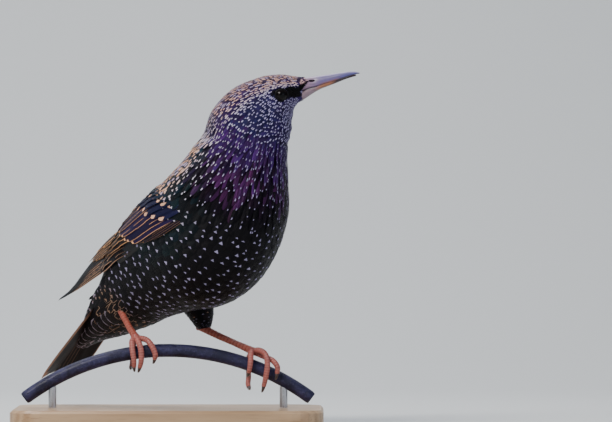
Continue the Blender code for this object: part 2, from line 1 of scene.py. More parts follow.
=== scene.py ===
"""The looks of the starling: skin, plumage, horn, eyes, scaled legs, painted perch and plain wooden stand."""

import math

import bpy
import numpy as np
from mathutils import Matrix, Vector


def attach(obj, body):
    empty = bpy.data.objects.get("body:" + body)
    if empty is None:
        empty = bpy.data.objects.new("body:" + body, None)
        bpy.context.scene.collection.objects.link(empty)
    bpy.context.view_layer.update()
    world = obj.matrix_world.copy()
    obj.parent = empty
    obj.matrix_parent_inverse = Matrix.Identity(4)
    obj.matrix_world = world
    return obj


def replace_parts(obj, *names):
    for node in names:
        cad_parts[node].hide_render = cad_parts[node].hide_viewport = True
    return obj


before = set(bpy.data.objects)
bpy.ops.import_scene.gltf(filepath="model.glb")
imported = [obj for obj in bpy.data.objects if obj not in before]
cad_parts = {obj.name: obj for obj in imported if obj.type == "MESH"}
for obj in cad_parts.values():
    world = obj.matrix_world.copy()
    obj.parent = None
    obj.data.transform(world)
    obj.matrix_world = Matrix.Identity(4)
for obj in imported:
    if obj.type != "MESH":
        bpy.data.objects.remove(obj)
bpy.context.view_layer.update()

MM = 0.001
BODY_NAME = "root"

# The photograph's camera: its frame in pixels, the scale at the bird, the pixels of the origin's column
# and the floor, its distance in metres and its sensor's width in mm
PHOTO_WIDTH, PHOTO_HEIGHT = 612, 422
MM_PER_PIXEL = 0.45
ORIGIN_PIXEL_X, FLOOR_PIXEL_Y = 168.0, 426.0
CAMERA_AWAY = 2.6
SENSOR = 36.0

# How the bird stands, as in the solids
BODY_HEADING, HEAD_HEADING = 40.0, 10.0
STANCE_X, STANCE_Z = 14.4, 34.0

# Sections of the feathered body, from the tips of the tail coverts to the forehead: X, Y and Z of the middle,
# heading in degrees to the viewer, half-width, and depth above (to the back) and below the middle, in mm
BODY = np.array((
    (-40.0, 45.8, 36.4, 40.0, 4.4, 1.6, 2.4),
    (-34.6, 41.3, 43.2, 40.0, 7.8, 4.0, 7.0),
    (-28.0, 35.7, 50.4, 40.0, 11.4, 8.8, 13.0),
    (-20.4, 29.4, 58.6, 40.0, 15.6, 14.4, 18.4),
    (-10.2, 20.8, 68.0, 40.0, 20.6, 20.4, 22.6),
    (2.0, 10.6, 77.8, 40.0, 25.0, 25.4, 29.0),
    (15.8, -1.0, 88.0, 40.0, 28.4, 28.4, 35.0),
    (25.4, -9.2, 103.0, 38.0, 27.4, 24.6, 32.6),
    (31.2, -13.4, 116.6, 33.0, 22.6, 21.4, 25.4),
    (34.4, -15.2, 126.0, 27.0, 18.4, 19.0, 20.6),
    (36.6, -16.2, 133.6, 21.0, 16.2, 18.6, 18.8),
    (40.4, -17.1, 140.6, 15.0, 14.2, 15.8, 18.2),
    (46.2, -18.4, 146.4, 11.0, 12.0, 11.6, 15.6),
    (52.0, -19.5, 149.6, 10.0, 9.0, 8.6, 11.2),
    (57.0, -20.4, 150.8, 10.0, 5.8, 6.4, 6.6),
    (61.0, -21.1, 151.0, 10.0, 3.7, 5.4, 4.9),
))
COAT_DEPTH = 1.5
LAST_SECTION = 15.0

# The side of a feather's patch on the unwrapped skin
PATCH = 0.003

# The folded right wing's two edges from wrist to tip: X, Z and aside of the lower edge and then of the
# upper one, and its height over the body's surface. The left wing mirrors it.
WING = np.array((
    (21.0, 104.0, -20.0, 9.0, 109.0, -12.0, -4.0),
    (14.0, 98.5, -25.0, 3.4, 105.0, -6.5, -1.6),
    (3.0, 90.0, -27.0, -5.5, 99.6, -3.0, 0.0),
    (-8.1, 81.9, -26.0, -14.8, 91.6, -2.0, 0.6),
    (-19.4, 73.8, -23.5, -24.6, 85.8, -2.0, 0.9),
    (-30.6, 65.7, -19.5, -36.0, 74.8, -3.5, 1.0),
    (-40.5, 60.5, -15.0, -46.2, 61.6, -7.5, 1.0),
    (-50.9, 55.9, -11.2, -51.3, 55.9, -10.4, 0.8),
))
WING_ARCH = 1.6

# The tail, from a point under the rump
TAIL_FORWARD, TAIL_UP, TAIL_SLOPE, TAIL_ROOT, TAIL_LENGTH = -41.0, 37.4, 49.0, 8.0, 65.6
TAIL_FEATHERS, TAIL_ROOT_HALF, TAIL_TIP_HALF, TAIL_FEATHER_WIDTH = 12, 6.0, 9.8, 8.4
TAIL_ARCH, TAIL_STEP, TAIL_SWAY, TAIL_SLANT = 1.0, 0.3, -6.2, 1.4

# The bill, in upright planes along the head's heading: X, lower edge, upper edge and half-width
UPPER_BILL = np.array((
    (59.6, 150.0, 155.9, 3.4),
    (61.3, 150.6, 156.3, 3.3),
    (65.0, 151.7, 156.8, 2.9),
    (69.0, 152.8, 157.3, 2.4),
    (73.4, 154.1, 157.9, 1.9),
    (77.5, 155.6, 158.5, 1.45),
    (81.0, 156.8, 158.9, 1.05),
    (84.0, 157.6, 158.9, 0.7),
    (86.0, 158.0, 158.4, 0.25),
))
LOWER_BILL = np.array((
    (59.6, 145.9, 150.1, 3.1),
    (61.3, 146.6, 150.5, 3.0),
    (64.6, 148.8, 151.4, 2.6),
    (68.3, 151.0, 152.5, 2.1),
    (71.6, 152.3, 153.5, 1.7),
    (75.0, 153.6, 154.8, 1.3),
    (79.5, 155.4, 156.0, 0.95),
    (82.6, 156.4, 157.0, 0.6),
    (84.4, 156.9, 157.3, 0.35),
))
BILL_ROOT_X, BILL_ROOT_Y, MOUTH_GAP = 61.0, -21.1, 0.27
RIDGE_SHARE = 0.3
NOSTRIL_X, NOSTRIL_ASIDE, NOSTRIL_Z = 65.2, 2.05, 154.8
NOSTRIL_LENGTH, NOSTRIL_DEPTH, NOSTRIL_HEIGHT = 3.2, 1.5, 1.1

# Small feathers over the bill's root: X along it, the middle of their band, its half-height, and their step
TUFT_X = (58.7, 59.2, 60.1444, 61.3667, 62.3111)
TUFT_MIDDLE = (153.4, 153.4, 153.9, 154.6, 154.8)
TUFT_REACH = (2.9, 2.9, 2.5, 0.9, 0.3)
TUFT_STEP = 0.42

EYE_RADIUS, EYE_X, EYE_Y, EYE_Z, EYE_ASIDE, EYE_TURN = 3.2, 51.9, -19.7, 148.4, 6.6, 27.0
LID_REACH, LID_FORWARD, LID_THICKNESS = 2.86, 1.62, 0.42

# Bare legs and toes, as points and radii
LEGS = {
    "left": ((13.2, 16.5, 44.4, 1.7), (15.2, 15.2, 43.8, 1.7), (22.5, 10.4, 40.4, 1.55),
        (30.5, 5.0, 37.0, 1.45), (37.2, 0.5, 34.1, 1.7)),
    "right": ((-26.4, 26.0, 60.0, 1.7), (-22.2, 16.0, 52.4, 1.5), (-18.0, 6.6, 45.0, 1.4),
        (-15.0, 0.5, 40.6, 1.7)),
}
THIGH_RIGHT = ((-29.6, 31.0, 67.0, 7.6), (-26.0, 24.4, 59.4, 5.0), (-22.9, 17.6, 53.6, 2.5))
THIGH_LEFT = ((11.0, 18.0, 60.0, 9.0), (14.0, 16.2, 52.0, 6.6), (15.6, 15.0, 46.0, 4.2),
    (16.0, 14.6, 43.4, 2.6))
TOES = {
    "left": {
        1: ((37.6, 0.7, 33.2, 1.2), (36.4, 4.5, 30.8, 1.2), (36.2, 5.2, 26.5, 1.15),
            (36.2, 3.4, 21.6, 1.15), (36.0, 0.8, 19.0, 1.1), (36.4, -1.6, 17.4, 1.0)),
        2: ((37.8, -0.8, 33.6, 1.35), (37.4, -3.4, 32.8, 1.3), (37.2, -5.0, 29.2, 1.2),
            (36.8, -5.0, 26.1, 1.1), (36.4, -4.2, 24.2, 0.95)),
        3: ((38.6, -0.6, 33.8, 1.4), (41.4, -2.4, 34.0, 1.35), (43.9, -4.4, 32.2, 1.3),
            (44.8, -5.4, 27.9, 1.25), (44.1, -5.2, 22.5, 1.2), (43.1, -4.4, 18.0, 1.0)),
        4: ((38.8, 0.4, 33.2, 1.35), (44.0, -1.4, 31.0, 1.25), (47.3, -3.6, 29.4, 1.25),
            (49.3, -4.9, 26.6, 1.2), (49.1, -4.6, 23.8, 1.0)),
    },
    "right": {
        1: ((-14.8, 0.7, 39.2, 1.2), (-15.6, 4.3, 36.8, 1.2), (-16.0, 5.0, 32.6, 1.15),
            (-16.2, 3.6, 28.4, 1.1), (-16.6, 0.8, 26.4, 1.0)),
        2: ((-13.6, -0.6, 39.6, 1.35), (-9.6, -2.6, 38.8, 1.3), (-7.0, -4.5, 35.8, 1.3),
            (-5.6, -4.9, 32.4, 1.2), (-5.9, -4.0, 30.2, 1.0)),
        3: ((-14.2, -1.0, 39.6, 1.4), (-13.4, -3.4, 38.4, 1.35), (-12.0, -5.0, 34.4, 1.3),
            (-11.9, -5.1, 29.7, 1.2), (-12.6, -3.9, 26.4, 1.0)),
        4: ((-14.8, -0.8, 39.4, 1.35), (-16.1, -3.2, 38.0, 1.3), (-15.8, -4.9, 34.0, 1.25),
            (-15.2, -5.0, 29.7, 1.15), (-15.1, -4.0, 26.8, 0.95)),
    },
}
FOOT_BALLS = {"left": (37.9, 0.0, 33.6), "right": (-14.6, 0.0, 39.8)}
CLAW_LENGTH, CLAW_CURL = 5.2, 100.0

# The perch and the stand
PERCH_RADIUS, PERCH_BEND, PERCH_HALF_ANGLE, PERCH_TOP = 3.0, 107.3, 37.0, 34.0

HEAD_TURN = math.radians(-HEAD_HEADING)
HEAD_LEFT = np.array((-math.sin(HEAD_TURN), math.cos(HEAD_TURN), 0.0))
HEAD_AHEAD = np.array((math.cos(HEAD_TURN), math.sin(HEAD_TURN), 0.0))
SIDES = {"right": -1.0, "left": 1.0}

# Colours of the plumage, as light that each reflects
VIOLET = np.array((0.058, 0.018, 0.125))
MAGENTA = np.array((0.066, 0.014, 0.078))
BLUE = np.array((0.012, 0.016, 0.060))
TEAL = np.array((0.003, 0.020, 0.026))
INDIGO = np.array((0.011, 0.010, 0.044))
BLACK = np.array((0.0022, 0.0018, 0.0034))
BROWN = np.array((0.016, 0.008, 0.006))
LAVENDER = np.array((0.48, 0.43, 0.68))
WHITE = np.array((0.70, 0.66, 0.78))
PEACH = np.array((0.78, 0.44, 0.28))
BUFF = np.array((0.52, 0.27, 0.12))
DULL_BUFF = np.array((0.20, 0.125, 0.085))
GREY = np.array((0.22, 0.20, 0.28))


def unit(vectors):
    """The vectors at length 1."""
    return vectors / np.maximum(np.linalg.norm(vectors, axis=-1, keepdims=True), 1e-9)


def smooth(low, high, value):
    """0 below low, 1 above high, and a soft step between them."""
    t = np.clip((np.asarray(value, float) - low) / (high - low), 0.0, 1.0)
    return t * t * (3 - 2 * t)


def spline(rows, at):
    """Rows of a table at places along it, by a Catmull-Rom curve through them."""
    rows = np.asarray(rows, float)
    at = np.clip(np.asarray(at, float), -0.6, len(rows) - 1.0)
    i = np.clip(at.astype(int), 0, len(rows) - 2)
    t = (at - i)[..., None]
    padded = np.vstack([2 * rows[0] - rows[1], rows, 2 * rows[-1] - rows[-2]])
    a, b, c, d = (padded[i + k] for k in range(4))
    return 0.5 * (2 * b + (c - a) * t + (2 * a - 5 * b + 4 * c - d) * t**2 + (3 * b - a - 3 * c + d) * t**3)


def bird(forward, aside, up):
    """World places of bird places, in mm: forward, to its left, and up from its stance on the perch."""
    turn = math.radians(BODY_HEADING)
    forward, aside, up = np.broadcast_arrays(forward, aside, up)
    return np.stack([
        STANCE_X + forward * math.cos(turn) + aside * math.sin(turn),
        -forward * math.sin(turn) + aside * math.cos(turn),
        STANCE_Z + up,
    ], axis=-1)


def seen(x, z, aside, side):
    """World places with this X and Z and this far aside on the bird's right, or mirrored on its left."""
    turn = math.radians(BODY_HEADING)
    forward = (x - STANCE_X - aside * math.sin(turn)) / math.cos(turn)
    return bird(forward, aside * -side, z - STANCE_Z)


def section(at):
    """Middle, ahead, left and back directions, half-width and both depths of the body's section at places."""
    row = spline(BODY, at)
    inner = np.clip(at, 0.011, len(BODY) - 1.011)
    ahead = unit(spline(BODY[:, :3], inner + 0.01) - spline(BODY[:, :3], inner - 0.01))
    turn = np.radians(row[..., 3])
    side = np.stack([np.sin(turn), np.cos(turn), np.zeros_like(turn)], axis=-1)
    back = unit(np.cross(ahead, side))
    return row[..., :3], ahead, np.cross(back, ahead), back, row[..., 4], row[..., 5], row[..., 6]


def body_place(at, angle, over=0.0):
    """Places over the body's feathered surface. Angle 0 is its left and a quarter turn its back."""
    at, angle, over = np.broadcast_arrays(at, angle, over)
    middle, _, left, back, half, above, below = section(at)
    depth = np.where(np.sin(angle) > 0, above, below)
    aside = ((half + over) * np.cos(angle))[..., None]
    rise = ((depth + over) * np.sin(angle))[..., None]
    return middle + left * aside + back * rise


STATION_PLACES = np.linspace(0.0, LAST_SECTION, 181)
STATIONS = section(STATION_PLACES)

# How many of the stations, from the tail's side, the folded wings lie over
BACK_STATIONS = 121


def near_section(points, count=None):
    """The station nearest to each point: number, left, back, offsets along them, half-width, depth."""
    middle, ahead, left, back, half, above, below = (part[:count] for part in STATIONS)
    away = points[:, None] - middle
    miss = np.abs((away * ahead).sum(-1)) + 0.05 * np.linalg.norm(away, axis=-1)
    nearest = miss.argmin(axis=1)
    away = away[np.arange(len(points)), nearest]
    left, back = left[nearest], back[nearest]
    aside, over = (away * left).sum(-1), (away * back).sum(-1)
    return nearest, left, back, aside, over, half[nearest], np.where(over > 0, above[nearest], below[nearest])


def on_body(points):
    """Place along the body and angle round it of points."""
    nearest, _, _, aside, over, half, depth = near_section(points)
    return STATION_PLACES[nearest], np.arctan2(over / depth, aside / half)


def outside(points, clear):
    """The points, moved out from the body's middle line until they are this far over its surface."""
    flat, clear = points.reshape(-1, 3), np.broadcast_to(clear, points.shape[:-1]).reshape(-1)
    _, left, back, aside, over, half, depth = near_section(flat, BACK_STATIONS)
    share = np.hypot(aside / (half + clear), over / (depth + clear))
    push = np.where((share < 1.0) & (share > 0.05), 1 / np.maximum(share, 0.05) - 1, 0.0)
    return (flat + (left * aside[:, None] + back * over[:, None]) * push[:, None]).reshape(points.shape)


def wing_place(side, s, t, over=0.0):
    """Places on a folded wing: s from the wrist to the tip, t from the lower edge to the upper one."""
    s, t, over = np.broadcast_arrays(s, t, over)
    row = spline(WING, (len(WING) - 1) * s)
    lower = seen(row[..., 0], row[..., 1], row[..., 2], side)
    upper = seen(row[..., 3], row[..., 4], row[..., 5], side)
    ahead = bird(0.7, 0.0, 0.7) - bird(0.0, 0.0, 0.0)
    out = unit(np.cross(upper - lower, ahead)) * side
    arch = WING_ARCH * np.maximum(1 - s, 0.0) ** 0.5 * 4 * t * (1 - t)
    points = outside(lower + (upper - lower) * t[..., None] + out * arch[..., None], row[..., 6])
    return points + out * over[..., None], out


def tail_place(along, aside, over):
    """Places on the tail: along it from under the rump, aside of its middle, and over its upper face."""
    slope = math.radians(TAIL_SLOPE)
    over = over - TAIL_ARCH * (aside / TAIL_TIP_HALF) ** 2
    aside = aside + TAIL_SWAY * along / TAIL_LENGTH
    return bird(
        TAIL_FORWARD - along * math.cos(slope) - over * math.sin(slope),
        aside,
        TAIL_UP - along * math.sin(slope) + over * math.cos(slope),
    )


# Meshes from arrays of points

def shown(name, points, faces, finish):
    """A smooth mesh of points in mm and arrays of faces, riding on the bird's one body."""
    widths = np.concatenate([np.full(len(block), block.shape[1]) for block in faces])
    corners = np.concatenate([block.ravel() for block in faces])
    mesh = bpy.data.meshes.new(name)
    mesh.vertices.add(len(points))
    mesh.vertices.foreach_set("co", (points * MM).astype(np.float32).ravel())
    mesh.loops.add(len(corners))
    mesh.loops.foreach_set("vertex_index", corners.astype(np.int32))
    mesh.polygons.add(len(widths))
    mesh.polygons.foreach_set("loop_start", (np.cumsum(widths) - widths).astype(np.int32))
    mesh.polygons.foreach_set("use_smooth", np.ones(len(widths), bool))
    mesh.update(calc_edges=True)
    mesh.validate()
    mesh.materials.append(finish)
    made = bpy.data.objects.new(name, mesh)
    bpy.context.scene.collection.objects.link(made)
    carried(made)
    return made


def carried(made):
    """Let a piece ride on the bird's one body."""
    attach(made, BODY_NAME)


def corner_points(mesh):
    """The number of the point at each face corner."""
    order = np.empty(len(mesh.loops), np.int32)
    mesh.loops.foreach_get("vertex_index", order)
    return order


def unwrapped(mesh, name, places):
    """Add a UV map with these places at the face corners."""
    mesh.uv_layers.new(name=name).data.foreach_set("uv", places.astype(np.float32).ravel())


def painted(mesh, name, colours):
    """Give the mesh's points these colours, for its material to read."""
    full = np.ones((len(colours), 4), np.float32)
    full[:, :colours.shape[1]] = colours
    mesh.attributes.new(name, "FLOAT_COLOR", "POINT").data.foreach_set("color", full.ravel())


def grid_shell(rows, cols):
    """Faces and rim of one thin closed vane: a top grid, and an under grid that shares its rim."""
    top = np.arange(rows * cols).reshape(rows, cols)
    under = top.copy()
    under[1:-1, 1:-1] = rows * cols + np.arange((rows - 2) * (cols - 2)).reshape(rows - 2, cols - 2)
    faces = []
    for grid, turned in ((top, False), (under, True)):
        quads = np.stack([grid[:-1, :-1], grid[:-1, 1:], grid[1:, 1:], grid[1:, :-1]], axis=-1).reshape(-1, 4)
        faces.append(quads[:, ::-1] if turned else quads)
    rim = np.zeros(rows * cols + (rows - 2) * (cols - 2), bool)
    rim[np.concatenate([top[0], top[-1], top[:, 0], top[:, -1]])] = True
    return np.concatenate(faces), rim


def vane_mesh(name, tops, outs, thick, values, patches, finish, leans=0.0):
    """Many thin closed vanes as one mesh.

    tops is (vane, along, across, 3), values {attribute: (vane, 3 or 4)}, and patches gives each vane's root
    on the unwrapped skin. A vane that leans, by -1 or 1, is marked along that edge only.
    """
    count, rows, cols = tops.shape[:3]
    quads, rim = grid_shell(rows, cols)
    per = len(rim)
    unders = tops[:, 1:-1, 1:-1] - outs[:, 1:-1, 1:-1] * np.reshape(thick, (-1, 1, 1, 1))
    points = np.concatenate([tops.reshape(count, -1, 3), unders.reshape(count, -1, 3)], axis=1)
    first = points[:, quads[0]]
    facing = (np.cross(first[:, 1] - first[:, 0], first[:, 3] - first[:, 0]) * outs[:, 0, 0]).sum(-1).mean()
    if facing < 0:
        quads = quads[:, ::-1]
    faces = (quads + per * np.arange(count)[:, None, None]).reshape(-1, 4)
    made = shown(name, points.reshape(-1, 3), [faces], finish)
    mesh = made.data
    across, along = np.meshgrid(np.linspace(0, 1, cols), np.linspace(0, 1, rows))
    places = np.stack([across, along], axis=-1)
    places = np.concatenate([places.reshape(-1, 2), places[1:-1, 1:-1].reshape(-1, 2)])
    order = corner_points(mesh)
    vane, place = order // per, places[order % per]
    patch = patches[vane] + (place - 0.5) * PATCH
    leaning = np.broadcast_to(leans, count)[vane]
    place[:, 0] = np.where(leaning == 0, place[:, 0], 0.5 * place[:, 0] + 0.25 * (1 + leaning))
    unwrapped(mesh, "vane", place)
    unwrapped(mesh, "OFBake", np.clip(patch, 0.0, 1.0))
    for label, value in values.items():
        painted(mesh, label, np.repeat(value, per, axis=0))
    ends = np.empty(len(mesh.edges) * 2, np.int32)
    mesh.edges.foreach_get("vertices", ends)
    sharp = rim[ends % per].reshape(-1, 2).all(axis=1)
    mesh.attributes.new("sharp_edge", "BOOLEAN", "EDGE").data.foreach_set("value", sharp)
    return made


def vane_values(gloss, tip, spot_long=0.0, spot_wide=0.0, fringe=0.0):
    """Colours of vanes, and as shares of each its tip spot's length and width and its fringe's width."""
    marks = [np.broadcast_to(value, len(gloss)) for value in (spot_long, spot_wide, fringe, 0.0)]
    return {"gloss": gloss, "tip": tip, "marks": np.stack(marks, axis=1)}


def ring_mesh(name, stacks, finish):
    """Closed meshes as one, each through a stack of equal rings, with a point in the middle of each end."""
    points, faces, start = [], [], 0
    for rings in stacks:
        rings = np.asarray(rings)
        count, sides = rings.shape[:2]
        grid = start + np.arange(count * sides).reshape(count, sides)
        turned = np.roll(grid, -1, axis=1)
        start += count * sides + 2
        faces.append(np.stack([grid[:-1], turned[:-1], turned[1:], grid[1:]], axis=-1).reshape(-1, 4))
        faces.append(np.stack([turned[0], grid[0], np.full(sides, start - 2)], axis=-1))
        faces.append(np.stack([grid[-1], turned[-1], np.full(sides, start - 1)], axis=-1))
        points += [rings.reshape(-1, 3), rings[:1].mean(axis=1), rings[-1:].mean(axis=1)]
    return shown(name, np.concatenate(points), faces, finish)


def tubes(name, paths, finish, sides=16):
    """Round closed tubes through rows of place and radius in mm, as one mesh."""
    turns = 2 * math.pi * np.arange(sides) / sides
    stacks = []
    for rows in paths:
        rows = np.asarray(rows, float)
        path, across, rings = rows[:, :3], np.array((0.03, 0.02, 1.0)), []
        for i, (point, radius) in enumerate(zip(path, rows[:, 3])):
            along = unit(path[min(i + 1, len(path) - 1)] - path[max(i - 1, 0)])
            across = unit(across - along * np.dot(across, along))
            other = np.cross(along, across)
            rings.append(point + radius * (np.outer(np.cos(turns), across) + np.outer(np.sin(turns), other)))
        stacks.append(rings)
    return ring_mesh(name, stacks, finish)


def drawn(rows, steps):
    """A table of points and radii drawn out into a smooth one."""
    return spline(rows, np.linspace(0.0, len(rows) - 1, steps + 1))


# Materials

class Nodes:
    """Short ways to add shader nodes to one tree. Most give the new node's output."""

    def __init__(self, tree):
        self.tree = tree

    def add(self, kind, inputs=(), **settings):
        made = self.tree.nodes.new(kind)
        for key, value in settings.items():
            setattr(made, key, value)
        for key, value in dict(inputs).items():
            self.put(made.inputs[key], value)
        return made

    def put(self, socket, value):
        if isinstance(value, bpy.types.NodeSocket):
            self.tree.links.new(value, socket)
        elif hasattr(value, "__len__") and len(value) == 3 and socket.type == "RGBA":
            socket.default_value = (*value, 1.0)
        else:
            socket.default_value = value

    def math(self, operation, first, second=0.0, third=0.0):
        return self.add("ShaderNodeMath", {0: first, 1: second, 2: third}, operation=operation).outputs[0]

    def times(self, first, second):
        return self.math("MULTIPLY", first, second)

    def less(self, first, second):
        return self.math("SUBTRACT", first, second)

    def largest(self, first, second):
        return self.math("MAXIMUM", first, second)

    def step(self, value, low, high, start=0.0, end=1.0):
        """A soft step from start to end as the value goes from low to high."""
        inputs = {"Value": value, "From Min": low, "From Max": high, "To Min": start, "To Max": end}
        return self.add("ShaderNodeMapRange", inputs, interpolation_type="SMOOTHSTEP").outputs[0]

    def mix(self, share, first, second, kind="MIX"):
        made = self.add("ShaderNodeMix", data_type="RGBA", blend_type=kind)
        for key, value in ((0, share), (6, first), (7, second)):
            self.put(made.inputs[key], value)
        return made.outputs[2]

    def dabbed(self, base, colour, value, low, high, share):
        """The base with some of a colour over it where the value goes from low to high."""
        return self.mix(self.times(self.step(value, low, high), share), base, colour)

    def noise(self, place, scale, detail=3.0, roughness=0.5):
        inputs = {"Vector": place, "Scale": scale, "Detail": detail, "Roughness": roughness}
        return self.add("ShaderNodeTexNoise", inputs).outputs["Fac"]

    def scaled(self, place, scale):
        return self.add("ShaderNodeMapping", {"Vector": place, "Scale": scale}).outputs[0]

    def place(self):
        return self.add("ShaderNodeTexCoord").outputs["Object"]

    def attribute(self, name):
        return self.add("ShaderNodeAttribute", attribute_name=name).outputs["Color"]

    def bump(self, shader, height, distance, strength):
        """Raise the surface by a height, in metres."""
        inputs = {"Height": height, "Distance": distance, "Strength": strength}
        self.put(shader["Normal"], self.add("ShaderNodeBump", inputs).outputs[0])


def new_group(name, inputs, outputs):
    """A shader node group with named inputs and outputs, and its Nodes helper with both ends."""
    group = bpy.data.node_groups.new(name, "ShaderNodeTree")
    for way, sockets in (("INPUT", inputs), ("OUTPUT", outputs)):
        for label, kind in sockets.items():
            group.interface.new_socket(label, in_out=way, socket_type="NodeSocket" + kind)
    n = Nodes(group)
    return group, n, n.add("NodeGroupInput").outputs, n.add("NodeGroupOutput").inputs


def new_material(name, rough, metallic=0.0, **plain):
    """A material, its Nodes helper and its Principled shader with the values that are plain all over."""
    made = bpy.data.materials.new(name)
    made.use_nodes = True
    shader = made.node_tree.nodes["Principled BSDF"]
    shader.inputs["Roughness"].default_value = rough
    shader.inputs["Metallic"].default_value = metallic
    for label, value in plain.items():
        shader.inputs[label.replace("_", " ")].default_value = value
    return made, Nodes(made.node_tree), shader.inputs


def mottled(name, rough, scale, first, second, **plain):
    """A material that wanders between two colours."""
    made, n, shader = new_material(name, rough, **plain)
    n.put(shader["Base Color"], n.mix(n.noise(n.place(), scale), first, second))
    return made


def vane_markings():
    """A feather's colours by place across and along it: dark gloss, a pale tip spot and fringe, and barbs."""
    inputs = {"Vane": "Vector", "Gloss": "Color", "Tip": "Color", "Marks": "Color"}
    inputs.update(dict.fromkeys(("Notch", "Barbs", "Streaks", "Taper", "Worn"), "Float"))
    outputs = {"Colour": "Color", "Pale": "Float", "Height": "Float"}
    group, n, given, out = new_group("vane markings", inputs, outputs)
    place = n.add("ShaderNodeSeparateXYZ", {0: given["Vane"]}).outputs
    marks = n.add("ShaderNodeSeparateColor", {0: given["Marks"]}).outputs
    aside = n.math("ABSOLUTE", n.math("MULTIPLY_ADD", place[0], 2.0, -1.0))
    along = place[1]
    frayed = n.noise(n.scaled(given["Vane"], (22.0, 5.0, 1.0)), 1.0, 2.0)
    reach = n.math("DIVIDE", n.less(along, n.less(1.0, marks[0])), n.largest(marks[0], 0.01))
    reach = n.math("ADD", reach, n.math("MULTIPLY_ADD", frayed, 0.5, -0.25))
    wide = n.times(marks[1], n.step(reach, -0.1, 1.0, given["Taper"], 1.0))
    spot = n.times(n.step(n.less(wide, aside), -0.06, 0.05), n.step(reach, -0.1, 0.1))
    notch = n.times(n.step(aside, 0.03, 0.26, 1.0, 0.0), n.step(reach, 0.4, 0.85))
    spot = n.times(spot, n.less(1.0, n.times(notch, given["Notch"])))
    edge = n.step(n.less(aside, n.less(1.0, marks[2])), -0.03, 0.05)
    end = n.math("MULTIPLY_ADD", marks[2], -0.2, 1.0)
    edge = n.largest(edge, n.step(n.less(along, end), -0.01, 0.02))
    edge = n.times(n.times(edge, n.step(along, 0.2, 0.45)), n.step(marks[2], 0.01, 0.03))
    kept = n.less(1.0, n.step(along, given["Worn"], n.math("ADD", given["Worn"], 0.1)))
    pale = n.largest(spot, n.times(edge, kept))
    streak = n.noise(n.scaled(given["Vane"], (26.0, 2.2, 1.0)), 1.0, 4.0, 0.6)
    streak = n.largest(n.math("MULTIPLY_ADD", n.less(streak, 0.5), given["Streaks"], 1.0), 0.05)
    phase = n.math("ADD", n.times(along, given["Barbs"]), n.times(aside, -5.0))
    barb = n.math("SINE", n.times(phase, 6.283))
    shaft = n.step(aside, 0.02, 0.09, 1.0, 0.0)
    dark = n.mix(n.times(shaft, 0.5), given["Gloss"], (0.006, 0.004, 0.004))
    grey = n.add("ShaderNodeCombineColor", {0: streak, 1: streak, 2: streak}).outputs[0]
    n.put(out["Colour"], n.mix(pale, n.mix(1.0, dark, grey, "MULTIPLY"), given["Tip"]))
    n.put(out["Pale"], pale)
    n.put(out["Height"], n.math("ADD", n.times(barb, 0.5), n.times(shaft, 1.2)))
    return group


MARKINGS = vane_markings()


def plumage(name, barbs, streaks=1.2, notch=0.0, taper=0.12, gloss=0.5, rough=0.42, worn=1.1):
    """Feather material: glossy dark vane, matt pale markings."""
    made, n, shader = new_material(name, rough, Specular_IOR_Level=0.16)
    marked = n.add("ShaderNodeGroup", node_tree=MARKINGS)
    values = {label: n.attribute(label.lower()) for label in ("Gloss", "Tip", "Marks")}
    values["Vane"] = n.add("ShaderNodeUVMap", uv_map="vane").outputs[0]
    values.update({"Notch": notch, "Barbs": barbs, "Streaks": streaks, "Taper": taper, "Worn": worn})
    for label, value in values.items():
        n.put(marked.inputs[label], value)
    pale = marked.outputs["Pale"]
    n.put(shader["Base Color"], marked.outputs["Colour"])
    n.put(shader["Metallic"], n.step(pale, 0.0, 1.0, gloss, 0.0))
    n.put(shader["Roughness"], n.step(pale, 0.0, 1.0, rough, 0.75))
    n.bump(shader, marked.outputs["Height"], 0.00006, 0.7)
    return made


# Colours by place on the body

def blend(first, second, share):
    """Colours a share of the way from the first to the second."""
    return first + (second - first) * np.asarray(share)[..., None]


